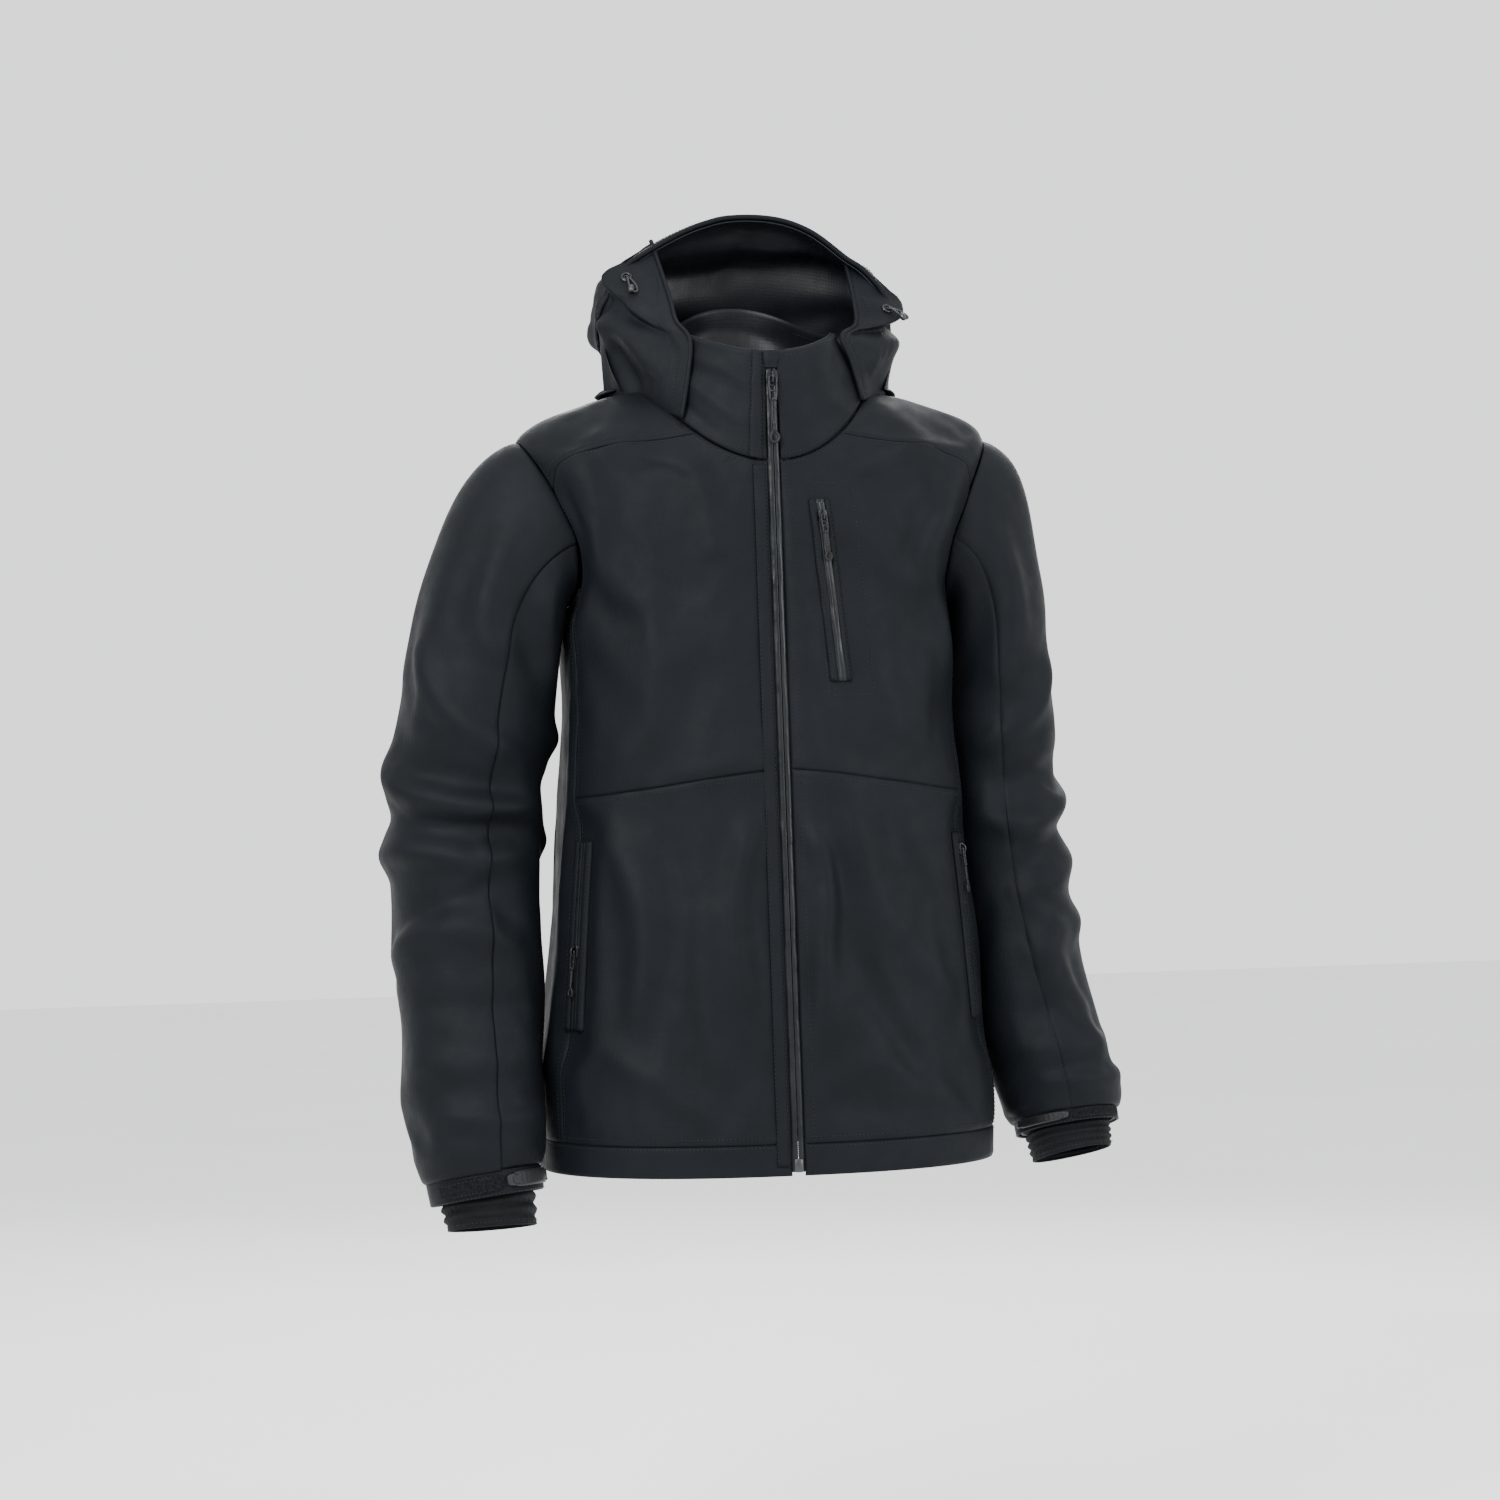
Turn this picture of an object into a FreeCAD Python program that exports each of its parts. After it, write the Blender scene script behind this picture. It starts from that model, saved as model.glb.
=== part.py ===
import FreeCAD, Part
import math
import os

# Insulated ski jacket, worn size, zip closed.
# Origin: hanger loop at the centre back of the neck seam.  +Z up, -Y front, +X wearer's left.

os.makedirs("parts", exist_ok=True)
doc = FreeCAD.newDocument("ski_jacket")
Vec = FreeCAD.Vector

# ---------------------------------------------------------------- driving sizes
SIZES = [
    ("shell_thick", 2.0), ("layer_gap", 0.9), ("fill_thick", 4.6), ("lining_thick", 1.0),
    ("seam_gap", 0.6),
    ("hem_level", -665.0), ("hem_half_width", 195.0), ("waist_level", -350.0),
    ("waist_half_width", 169.0), ("armpit_level", -190.0), ("armpit_half_width", 165.0),
    ("shoulder_half_width", 203.0), ("shoulder_level", -50.0),
    ("neck_half_width", 98.0), ("neck_depth", 177.0), ("neck_drop_front", 73.0),
    ("collar_top_half_width", 71.0), ("collar_top_front", 20.0), ("collar_top_back", 75.0),
    ("hem_band_tall", 26.0),
    ("zip_open_width", 11.0), ("tape_wide", 13.0), ("tape_thick", 0.8), ("chain_wide", 5.0),
    ("chain_thick", 2.8), ("zip_back", 3.8), ("inner_edge", 36.0),
    ("slider_wide", 10.0), ("slider_long", 15.0), ("slider_thick", 3.2),
    ("bridge_wide", 3.0), ("bridge_long", 8.0), ("bridge_rise", 4.2), ("bridge_eye", 1.3),
    ("pin_radius", 0.9), ("pin_long", 6.4), ("arm_thick", 1.2), ("arm_wide", 2.2),
    ("arm_long", 12.0), ("link_long", 9.0), ("cord_radius", 1.4), ("cord_long", 26.0),
    ("drop_radius", 4.0), ("drop_tube", 1.5), ("small_zip_scale", 0.75),
    ("garage_wide", 15.0), ("garage_tall", 14.0), ("garage_thick", 2.4),
    ("tab_thick", 2.2), ("tab_tall", 24.0), ("patch_thick", 1.0),
    ("hood_radius", 107.0), ("hood_half_width", 131.0), ("hood_axis_level", 45.0),
    ("hood_axis_back", -77.0), ("hood_turn_low", -25.0), ("hood_turn_rim", 76.0),
    ("brim_sweep", 9.0), ("hood_shell_thick", 2.0),
    ("lock_radius", 6.0), ("lock_tall", 13.0), ("lock_bore", 3.4), ("button_radius", 3.0),
    ("button_long", 10.0), ("button_out", 5.0), ("snap_radius", 6.0), ("snap_thick", 2.4),
    ("loop_wide", 5.0), ("loop_span", 52.0), ("loop_rise", 9.0), ("loop_thick", 1.4),
    ("bag_wide", 120.0), ("bag_tall", 150.0), ("bag_thick", 1.0),
    ("eyelet_outer", 6.0), ("eyelet_inner", 3.0), ("eyelet_thick", 1.6),
]
sheet = doc.addObject("Spreadsheet::Sheet", "Dims")
for row, (word, value) in enumerate(SIZES, start=1):
    sheet.set("A%d" % row, word)
    sheet.set("B%d" % row, "%g" % value)
    sheet.setAlias("B%d" % row, word)
doc.recompute()


def dim(word):
    return float(sheet.get(word))


# ---------------------------------------------------------------- smooth tables
def smooth(table, at):
    """Value row at a position along the table, by monotone cubic steps."""
    n = len(table)
    k = min(max(int(math.floor(at)), 0), n - 2)
    f = min(max(at - k, 0.0), 1.0)
    out = []
    for c in range(len(table[0])):
        p = [table[i][c] for i in range(n)]

        def slope(i):
            if i == 0:
                return p[1] - p[0]
            if i == n - 1:
                return p[n - 1] - p[n - 2]
            a, b = p[i] - p[i - 1], p[i + 1] - p[i]
            return 0.0 if a * b <= 0 else 2 * a * b / (a + b)

        m0, m1 = slope(k), slope(k + 1)
        h = p[k + 1] - p[k]
        out.append(p[k] + f * (m0 + f * (3 * h - 2 * m0 - m1 + f * (m0 + m1 - 2 * h))))
    return out


HEM = dim("hem_level")
WAIST = dim("waist_level")
PIT = dim("armpit_level")
TIP = dim("shoulder_level")
NECK_FRONT = -dim("neck_drop_front")
FRONT_SLOPE = 50.0 / 685.0


def zip_y(z):
    """Depth of the straight centre front line at a level."""
    return -dim("neck_depth") + (z - NECK_FRONT) * FRONT_SLOPE


# body rings: half width, middle y, front y, back y, roundness, side z, front z, back z
RINGS = [
    (dim("hem_half_width"), -84, zip_y(HEM), 50, 2.3, HEM, HEM, HEM),
    (187, -82, zip_y(-560), 45, 2.3, -560, -560, -560),
    (178, -80, zip_y(-450), 41, 2.3, -450, -450, -450),
    (dim("waist_half_width"), -78, zip_y(WAIST), 40, 2.3, WAIST, WAIST, WAIST),
    (165, -77, zip_y(-265), 46, 2.3, -265, -265, -265),
    (dim("armpit_half_width"), -77, zip_y(-200), 52, 2.35, PIT, -200, -195),
    (182, -76, zip_y(-166), 51, 2.4, -138, -166, -152),
    (199, -75, zip_y(-142), 45, 2.4, -88, -142, -106),
    (dim("shoulder_half_width"), -74, zip_y(-122), 35, 2.35, TIP, -122, -64),
    (186, -74, zip_y(-107), 26, 2.3, -32, -107, -42),
    (146, -75, zip_y(-92), 13, 2.2, -17, -92, -21),
    (dim("neck_half_width"), -80, zip_y(NECK_FRONT), 0, 2.1, -4, NECK_FRONT, 0),
]
V_WAIST = 3.0
V_PIT = 5.0
V_TIP = 8.0
V_NECK = 11.0
ARM_MID = 6.5
ARM_HALF = 1.5
ARM_TURN = 33.0
SIDE_TURN = 20.0


def power(c, e):
    return math.copysign(abs(c) ** e, c)


def ring_point(ring, turn):
    """Point of one ring.  turn 0 = wearer's left side, 90 = front, 270 = back."""
    a, ym, yf, yb, n, zs, zf, zb = ring
    c = power(math.cos(math.radians(turn)), 2.0 / n)
    s = power(math.sin(math.radians(turn)), 2.0 / n)
    w = s * s
    if s >= 0:
        return Vec(a * c, ym + (yf - ym) * s, zs + (zf - zs) * w)
    return Vec(a * c, ym - (yb - ym) * s, zs + (zb - zs) * w)


def body_at(turn, v):
    return ring_point(smooth(RINGS, v), turn)


COLLAR = [
    (98, -80, zip_y(NECK_FRONT), 0, 2.1, -4, NECK_FRONT, 0),
    (90, -80, zip_y(-42), 4, 2.1, 14, -42, 24),
    (80, -82, zip_y(-10), 6, 2.1, 30, -10, 50),
    (dim("collar_top_half_width"), -84, zip_y(20), 4, 2.1, 44,
     dim("collar_top_front"), dim("collar_top_back")),
]


def collar_at(turn, v):
    return ring_point(smooth(COLLAR, v), turn)


# sleeve stations: middle x (away from the body), y, z, half width, half depth
SLEEVE_R = [
    (232, -77, -215, 59, 67), (246, -76, -290, 61, 65), (252, -74, -360, 62, 64),
    (254, -82, -440, 60, 62), (254, -97, -520, 57, 58), (253, -113, -595, 53, 54),
    (251, -124, -650, 49.5, 51), (247, -129, -683, 48, 50),
]
SLEEVE_L = [
    (208, -66, -215, 40, 72), (213, -57, -290, 46, 68), (217, -50, -360, 47, 66),
    (226, -52, -440, 48, 64), (239, -64, -520, 49, 60), (254, -80, -585, 47.5, 55),
    (262, -91, -628, 45.5, 50), (264, -96, -648, 45, 48.5),
]


def sleeve_at(turn, s, hand):
    """turn 0 = outer face, 90 = front, 180 = inner face.  s 0 = armhole, 8 = cuff edge."""
    table = SLEEVE_R if hand < 0 else SLEEVE_L
    r = math.radians(turn)

    def tube(k):
        x, y, z, w, d = smooth(table, k)
        e = 0.05
        a, b = smooth(table, max(k - e, 0)), smooth(table, min(k + e, len(table) - 1))
        t = Vec(b[0] - a[0], b[1] - a[1], b[2] - a[2]).normalize()
        out = Vec(1, 0, 0) - t * t.x
        out.normalize()
        fore = out.cross(t) * -1.0
        if fore.y > 0:
            fore = fore * -1.0
        return Vec(x, y, z) + out * (w * math.cos(r)) + fore * (d * math.sin(r)), t

    if s >= 1.0:
        p = tube(s - 1.0)[0]
    else:
        v = ARM_MID + ARM_HALF * math.cos(r)
        p0 = body_at(ARM_TURN * math.sin(r), v) + Vec(0.8, 0, 0)
        p1, t1 = tube(0.0)
        gap = (p1 - p0).Length
        m0 = Vec(1.0, 0, -0.35) * (gap * 0.9)
        m1 = t1 * gap * 1.0
        h = s * s * (3 - 2 * s)
        p = p0 * (1 - h) + p1 * h + m0 * (s * (1 - s) ** 2) - m1 * (s * s * (1 - s))
    return Vec(p.x * hand, p.y, p.z)


def hood_at(b, turn):
    """b -90..90 across the head from right to left, turn about the hood axis from the back up."""
    x = dim("hood_half_width") * math.sin(math.radians(b))
    r = dim("hood_radius") * math.cos(math.radians(b))
    c, s = math.cos(math.radians(turn)), math.sin(math.radians(turn))
    return Vec(x, dim("hood_axis_back") + r * c, dim("hood_axis_level") + r * s)


def lifted(f, off, centre):
    """Surface f(u, v) moved off along its outward normal (away from centre)."""
    def g(u, v):
        e = 0.02
        p = f(u, v)
        du = f(u + 20 * e, v) - f(u - 20 * e, v)
        dv = f(u, v + e) - f(u, v - e)
        n = du.cross(dv)
        if n.Length < 1e-9:
            return p
        n.normalize()
        if n.dot(p - centre(u, v)) < 0:
            n = n * -1.0
        return p + n * off
    return g


# ---------------------------------------------------------------- sheet solids
def curve(points, closed=False):
    bs = Part.BSplineCurve()
    bs.interpolate(points, PeriodicFlag=closed)
    return bs.toShape()


def sheet_solid(outer, inner, closed=False):
    """Solid between two stacks of point rows that run side by side."""
    top = [curve(row, closed) for row in outer]
    low = [curve(row, closed) for row in inner]
    faces = []
    for k in range(len(top) - 1):
        faces.append(Part.makeRuledSurface(top[k], top[k + 1], 1))
        faces.append(Part.makeRuledSurface(low[k], low[k + 1], 1))
        if not closed:
            for end in (0, -1):
                a, b = outer[k][end], outer[k + 1][end]
                c, d = inner[k][end], inner[k + 1][end]
                rim, rib = Part.makeLine(a, b), Part.makeLine(c, d)
                faces.append(Part.makeRuledSurface(rim, rib, 1))
    faces.append(Part.makeRuledSurface(top[0], low[0], 1))
    faces.append(Part.makeRuledSurface(top[-1], low[-1], 1))
    shell = Part.makeShell(faces)
    shell.sewShape()
    if shell.ShapeType != "Shell":
        shell = Part.makeShell(shell.Faces)
        shell.sewShape()
    solid = Part.makeSolid(shell)
    if solid.Volume < 0:
        solid.reverse()
    return solid


NODES = []


def keep(obj, name):
    obj.Label = name
    NODES.append((obj, name))
    return obj


def add_shape(name, shape):
    obj = doc.addObject("Part::Feature", name)
    obj.Shape = shape
    return keep(obj, name)


def cloth(f, centre, us, vs, out_off, in_off, closed=False):
    """Cloth layer.  us(step) gives the row of turns, vs(turn, step) gives the level."""
    fo, fi = lifted(f, out_off, centre), lifted(f, in_off, centre)
    outer = [[fo(u, vs(u, k)) for u in us(k)] for k in range(vs.steps)]
    inner = [[fi(u, vs(u, k)) for u in us(k)] for k in range(vs.steps)]
    return sheet_solid(outer, inner, closed)


def layer(name, *args, **more):
    return add_shape(name, cloth(*args, **more))


class Levels:
    """Level of step k at a turn, between two edges that may depend on the turn."""

    def __init__(self, low, high, steps):
        self.low, self.high, self.steps = low, high, steps

    def __call__(self, u, k):
        a = self.low(u) if callable(self.low) else self.low
        b = self.high(u) if callable(self.high) else self.high
        return a + (b - a) * k / (self.steps - 1.0)


def spread(a, b, n):
    return [a + (b - a) * i / (n - 1.0) for i in range(n)]


def body_mid(u, v):
    r = smooth(RINGS, v)
    return Vec(0, r[1], r[5] - (40 if v > 7 else 0))


def collar_mid(u, v):
    r = smooth(COLLAR, v)
    return Vec(0, r[1], r[5])


def hood_mid(b, turn):
    return Vec(0, dim("hood_axis_back"), dim("hood_axis_level"))


def sleeve_mid(hand):
    table = SLEEVE_R if hand < 0 else SLEEVE_L

    def mid(u, s):
        if s < 1.0:
            x, y, z = table[0][:3]
            w = s * s
            return Vec(hand * (170 + (x - 170) * w), -74 + (y + 74) * w, -125 + (z + 125) * w)
        x, y, z = smooth(table, s - 1.0)[:3]
        return Vec(hand * x, y, z)
    return mid


SHELL = (0.0, -dim("shell_thick"))
FILL_OUT = -dim("shell_thick") - dim("layer_gap")
FILL = (FILL_OUT, FILL_OUT - dim("fill_thick"))
LINE_OUT = FILL[1] - dim("layer_gap")
LINING = (LINE_OUT, LINE_OUT - dim("lining_thick"))
GAP_TURN = 0.15
GAP_V = 0.006


def zip_turn(v, width=None):
    """Turn at which the front edge leaves the zip opening."""
    r = smooth(RINGS, v)
    width = width or dim("zip_open_width")
    return math.degrees(math.acos((width / 2.0 / r[0]) ** (r[4] / 2.0)))


def edge_turn(v, forward):
    """Turn of the panel edge: side seam, then armhole, then the shoulder seam."""
    arm = 0.0
    if abs(v - ARM_MID) < ARM_HALF:
        arm = ARM_TURN * math.sqrt(1 - ((v - ARM_MID) / ARM_HALF) ** 2)
    if v > 7.3:
        return 28.0 + (forward - 28.0) * (v - 7.3) / (V_NECK - 7.3)
    return max(SIDE_TURN, arm)


def mirrored(turn, hand):
    return turn if hand > 0 else 180.0 - turn


def pit_level(u):
    """Top edge of the side panel: the under side of the armhole."""
    t = ((u + 180.0) % 360.0) - 180.0
    if abs(t) > 90:
        t = 180.0 - abs(t)
    return ARM_MID - ARM_HALF * math.sqrt(max(0.0, 1 - (t / ARM_TURN) ** 2)) - GAP_V


def waist_level_at(u):
    """The waist seam is a shallow V that dips towards the sides."""
    t = abs(math.cos(math.radians(u)))
    return V_WAIST + 0.22 - 0.26 * t


def front_cloth(hand, low, high, offs, steps, inset=0.0, width=None):
    """Front from the zip opening to the side seam, armhole and shoulder seam."""
    fo, fi = lifted(body_at, offs[0], body_mid), lifted(body_at, offs[1], body_mid)
    outer, inner = [], []
    for k in range(steps):
        f = k / (steps - 1.0)
        row_o, row_i = [], []
        for j in range(11):
            g = j / 10.0
            v = (1 - f) * (low(60) if callable(low) else low)
            v += f * (high(60) if callable(high) else high)
            a = zip_turn(v, width)
            b = edge_turn(v, 52.0) + GAP_TURN + inset
            t = a + (b - a) * g
            lo = low(t) if callable(low) else low
            hi = high(t) if callable(high) else high
            v = lo + (hi - lo) * f
            u = mirrored(t, hand)
            row_o.append(fo(u, v))
            row_i.append(fi(u, v))
        outer.append(row_o)
        inner.append(row_i)
    return sheet_solid(outer, inner)


HEM_TOP_V = dim("hem_band_tall") / 105.0
for hand, side in ((-1, "right"), (1, "left")):
    add_shape("front_%s_lower" % side, front_cloth(
        hand, HEM_TOP_V + GAP_V, lambda u: waist_level_at(u) - GAP_V, SHELL, 10))
    add_shape("front_%s_upper" % side, front_cloth(
        hand, lambda u: waist_level_at(u) + GAP_V, V_NECK, SHELL, 22))

for hand, side in ((-1, "right"), (1, "left")):
    a = mirrored(SIDE_TURN - GAP_TURN, hand)
    b = mirrored(-SIDE_TURN + GAP_TURN, hand)
    layer("side_panel_%s" % side, body_at, body_mid, lambda k: spread(a, b, 9),
          Levels(HEM_TOP_V + GAP_V, pit_level, 14), *SHELL)


def back_rows(k, steps, low, high, inset=0.0, n=19):
    v = low + (high - low) * k / (steps - 1.0)
    t = edge_turn(v, 40.0) + GAP_TURN + inset
    return spread(180.0 + t, 360.0 - t, n)


BACK_TOP = 7.2
layer("back_panel", body_at, body_mid,
      lambda k: back_rows(k, 24, HEM_TOP_V + GAP_V, BACK_TOP),
      Levels(HEM_TOP_V + GAP_V, BACK_TOP, 24), *SHELL)


def yoke_low(u):
    """Lower edge of the yoke: yoke seam on the back, armhole edge at the shoulders."""
    t = ((u + 180.0) % 360.0) - 180.0
    if abs(t) > 90:
        t = math.copysign(180.0 - abs(t), t)
    if abs(t) < 28.4:
        return ARM_MID + ARM_HALF * math.sqrt(max(0.0, 1 - (t / ARM_TURN) ** 2)) + GAP_V
    return BACK_TOP + 2 * GAP_V + 0.08 * max(0.0, 1 - (abs(t) - 28.4) / 8.0)


def yoke_rows(k):
    f = k / 9.0
    t = 27.5 + (51.5 - 27.5) * f
    return spread(180.0 - t, 360.0 + t, 41)


layer("shoulder_yoke", body_at, body_mid, yoke_rows, Levels(yoke_low, V_NECK, 10), *SHELL)


def all_round(width=None, n=49):
    """Turns right round the body from one zip edge to the other."""
    t = zip_turn(0.0, width)
    return spread(180.0 - t, 360.0 + t, n)


layer("hem_band", body_at, body_mid, lambda k: all_round(), Levels(0.0, HEM_TOP_V, 4),
      0.4, -dim("shell_thick") - 0.4)

for word, offs in (("insulation", FILL), ("lining", LINING)):
    layer("body_%s" % word, body_at, body_mid, lambda k: all_round(dim("inner_edge")),
          Levels(HEM_TOP_V + 0.03, 4.95, 14), *offs)
    uppers = [front_cloth(hand, 4.97, 10.9, offs, 18, 0.9, dim("inner_edge"))
              for hand in (-1, 1)]
    uppers.append(cloth(body_at, body_mid, lambda k: back_rows(k, 16, 4.97, 10.9, 0.9),
                        Levels(4.97, 10.9, 16), *offs))
    add_shape("upper_%s" % word, Part.makeCompound(uppers))

# ---------------------------------------------------------------- collar
def collar_turn(v, width):
    r = smooth(COLLAR, v)
    return math.degrees(math.acos((width / 2.0 / r[0]) ** (r[4] / 2.0)))


def collar_row(a, b, n):
    return lambda k: spread(a, b, n)


C_LOW, C_TOP = 0.03, 3.0
zt = collar_turn(1.5, dim("zip_open_width"))
zl = collar_turn(3.0, dim("inner_edge") - 6.0)
layer("collar_right", collar_at, collar_mid, collar_row(180 - zt, 269.8, 19),
      Levels(C_LOW, C_TOP, 9), *SHELL)
layer("collar_left", collar_at, collar_mid, collar_row(270.2, 360 + zt, 19),
      Levels(C_LOW, C_TOP, 9), *SHELL)
layer("collar_lining", collar_at, collar_mid, collar_row(180 - zl, 360 + zl, 37),
      Levels(C_LOW, C_TOP, 9), -2.6, -5.2)
# ---------------------------------------------------------------- sleeves
TAB_SEAM = 170.0
patches = []
for hand, side in ((-1, "right"), (1, "left")):
    def surf(u, s, hand=hand):
        return sleeve_at(u, s, hand)

    mid = sleeve_mid(hand)
    cuff_s = 7.35
    layer("sleeve_%s_top" % side, surf, mid, lambda k: spread(-79.7, 99.7, 17),
          Levels(0.01, cuff_s - 0.01, 30), *SHELL)
    layer("sleeve_%s_under" % side, surf, mid, lambda k: spread(100.3, 279.7, 17),
          Levels(0.01, cuff_s - 0.01, 30), *SHELL)
    layer("cuff_%s" % side, surf, mid, lambda k: spread(0, 345, 24),
          Levels(cuff_s, 8.0, 4), *SHELL, closed=True)
    layer("sleeve_%s_lining" % side, surf, mid, lambda k: spread(0, 345, 24),
          Levels(0.6, 7.9, 25), -3.4, -6.0, closed=True)

    def wrist(u, s, surf=surf, hand=hand):
        """Wrist gaiter: the cuff tube carried on past the cuff edge and drawn in."""
        if s <= 8.0:
            return surf(u, s)
        a, b = surf(u, 7.9), surf(u, 8.0)
        step = (b - a) * ((s - 8.0) * 10.0)
        return b + step

    layer("wrist_gaiter_%s" % side, wrist, mid, lambda k: spread(0, 345, 24),
          Levels(7.55, 8.75 if hand < 0 else 9.1, 6), -8.0, -9.6, closed=True)
    patches.append(cloth(surf, mid, lambda k: spread(30, 150, 13), Levels(7.42, 7.90, 3),
                         0.4 + dim("patch_thick"), 0.4))
    tab_low = 0.8 + dim("patch_thick")
    layer("cuff_tab_%s" % side, surf, mid, lambda k: spread(104, TAB_SEAM - 1, 9),
          Levels(7.44, 7.88, 3), tab_low + dim("tab_thick"), tab_low)
add_shape("cuff_patches", Part.makeCompound(patches))

# ---------------------------------------------------------------- hood
LOW, RIM = dim("hood_turn_low"), dim("hood_turn_rim")
BRIM = RIM - dim("brim_sweep")
HT = dim("hood_shell_thick")


def hood_rows(a, b, n):
    return lambda k: spread(a, b, n)


layer("hood_side_right", hood_at, hood_mid, hood_rows(-80, -34.2, 11),
      Levels(LOW, RIM, 13), 0, -HT)
layer("hood_side_left", hood_at, hood_mid, hood_rows(34.2, 80, 11), Levels(LOW, RIM, 13), 0, -HT)
layer("hood_crown", hood_at, hood_mid, hood_rows(-33.8, 33.8, 13), Levels(LOW, RIM, 13), 0, -HT)
layer("hood_brim", hood_at, hood_mid, hood_rows(-78, 78, 27), Levels(BRIM, RIM, 4), 2.0, 0.5)
layer("hood_lining", hood_at, hood_mid, hood_rows(-76, 76, 25), Levels(LOW + 1, RIM - 1, 13),
      -HT - 0.6, -HT - 2.0)


def hood_base_level(u):
    t = abs(math.cos(math.radians(u)))
    return 10.2 + 0.25 * t


layer("hood_base", body_at, body_mid, lambda k: spread(176, 364, 37),
      Levels(hood_base_level, 10.95, 5), 6.5, 0.6)

# ---------------------------------------------------------------- primitives
def bound(obj, **words):
    """Tie properties of a primitive to cells of the sheet."""
    for prop, expr in words.items():
        obj.setExpression(prop, expr)
    return obj


def expr(text):
    """Expression text with every size word pointed at the sheet."""
    out = text
    for word, _ in sorted(SIZES, key=lambda p: -len(p[0])):
        out = out.replace("{%s}" % word, "Dims.%s" % word)
    return out


def place(obj, base, rot=None):
    obj.Placement = FreeCAD.Placement(base, rot or FreeCAD.Rotation())
    return obj


def box(name, size_x, size_y, size_z, low):
    """Box with sizes in sheet words, its low corner at a point."""
    obj = doc.addObject("Part::Box", name)
    bound(obj, Length=expr(size_x), Width=expr(size_y), Height=expr(size_z))
    return place(obj, low)


def rod(name, radius, tall, base, axis=Vec(0, 0, 1)):
    obj = doc.addObject("Part::Cylinder", name)
    bound(obj, Radius=expr(radius), Height=expr(tall))
    return place(obj, base, FreeCAD.Rotation(Vec(0, 0, 1), axis))


def ring(name, big, small, base, axis):
    obj = doc.addObject("Part::Torus", name)
    bound(obj, Radius1=expr(big), Radius2=expr(small))
    return place(obj, base, FreeCAD.Rotation(Vec(0, 0, 1), axis))


def fused(name, *parts):
    obj = doc.addObject("Part::MultiFuse", name)
    obj.Shapes = list(parts)
    return obj


def cut(name, base, tool):
    obj = doc.addObject("Part::Cut", name)
    obj.Base, obj.Tool = base, tool
    return obj


def frame_on(origin, down, out):
    """Placement whose local -Z runs down the zip and local -Y points out of the cloth."""
    z = (down * -1.0).normalize()
    y = out * -1.0
    y = (y - z * y.dot(z)).normalize()
    x = y.cross(z)
    m = FreeCAD.Matrix(x.x, y.x, z.x, origin.x, x.y, y.y, z.y, origin.y,
                       x.z, y.z, z.z, origin.z, 0, 0, 0, 1)
    return FreeCAD.Placement(m)


def zip_slider(name, scale, where):
    """Slider body with an eye bridge.  Local frame: zip face at y = 0, -Y outwards."""
    k = "%g * " % scale
    w, l, t = (scale * dim(x) for x in ("slider_wide", "slider_long", "slider_thick"))
    bw, bl, br = (scale * dim(x) for x in ("bridge_wide", "bridge_long", "bridge_rise"))
    lift = 0.5
    body = box(name + "_plate", k + "{slider_wide}", k + "{slider_thick}",
               k + "{slider_long}", Vec(-w / 2, -lift - t, -l / 2))
    rise = box(name + "_bridge", k + "{bridge_wide}", k + "({bridge_rise} + 0.5)",
               k + "{bridge_long}", Vec(-bw / 2, -lift - t - br, -bl / 2))
    eye = rod(name + "_eye", k + "{bridge_eye}", k + "{bridge_wide} * 2",
              Vec(-bw, -lift - t - br * 0.5, 0), Vec(1, 0, 0))
    whole = fused(name + "_whole", body, rise)
    obj = cut(name, whole, eye)
    obj.Placement = where
    return keep(obj, name)


def zip_puller(name, scale, where, cord):
    """Pin, two arms and a link; a cord with a drop-shaped end hangs from the big one."""
    k = "%g * " % scale
    t, br = scale * dim("slider_thick"), scale * dim("bridge_rise")
    y = -0.5 - t - br * 0.5
    pl, at, aw = (scale * dim(x) for x in ("pin_long", "arm_thick", "arm_wide"))
    al, ll = scale * dim("arm_long"), scale * dim("link_long")
    cr = scale * dim("cord_radius")
    pin = rod(name + "_pin", k + "{pin_radius}", k + "{pin_long}", Vec(-pl / 2, y, 0),
              Vec(1, 0, 0))
    parts = [pin]
    for side in (-1, 1):
        x = side * (pl / 2) - (at if side > 0 else 0)
        parts.append(box(name + "_arm%d" % (side + 2), k + "{arm_thick}", k + "{arm_wide}",
                         k + "({arm_long} + 1.1)", Vec(x, y - aw / 2, -al)))
    parts.append(box(name + "_link", k + "{pin_long}", k + "{arm_wide}", k + "{link_long}",
                     Vec(-pl / 2, y - aw / 2, -al - ll + 0.5)))
    z = -al - ll + 1.0
    cl = cord
    parts.append(rod(name + "_cord", k + "{cord_radius}", "%g" % cl, Vec(0, y, z - cl)))
    dr = scale * dim("drop_radius")
    parts.append(ring(name + "_drop", k + "{drop_radius}", k + "{drop_tube}",
                      Vec(0, y, z - cl - dr + 0.6), Vec(0, 1, 0)))
    obj = fused(name, *parts)
    obj.Placement = where
    return keep(obj, name)


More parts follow.
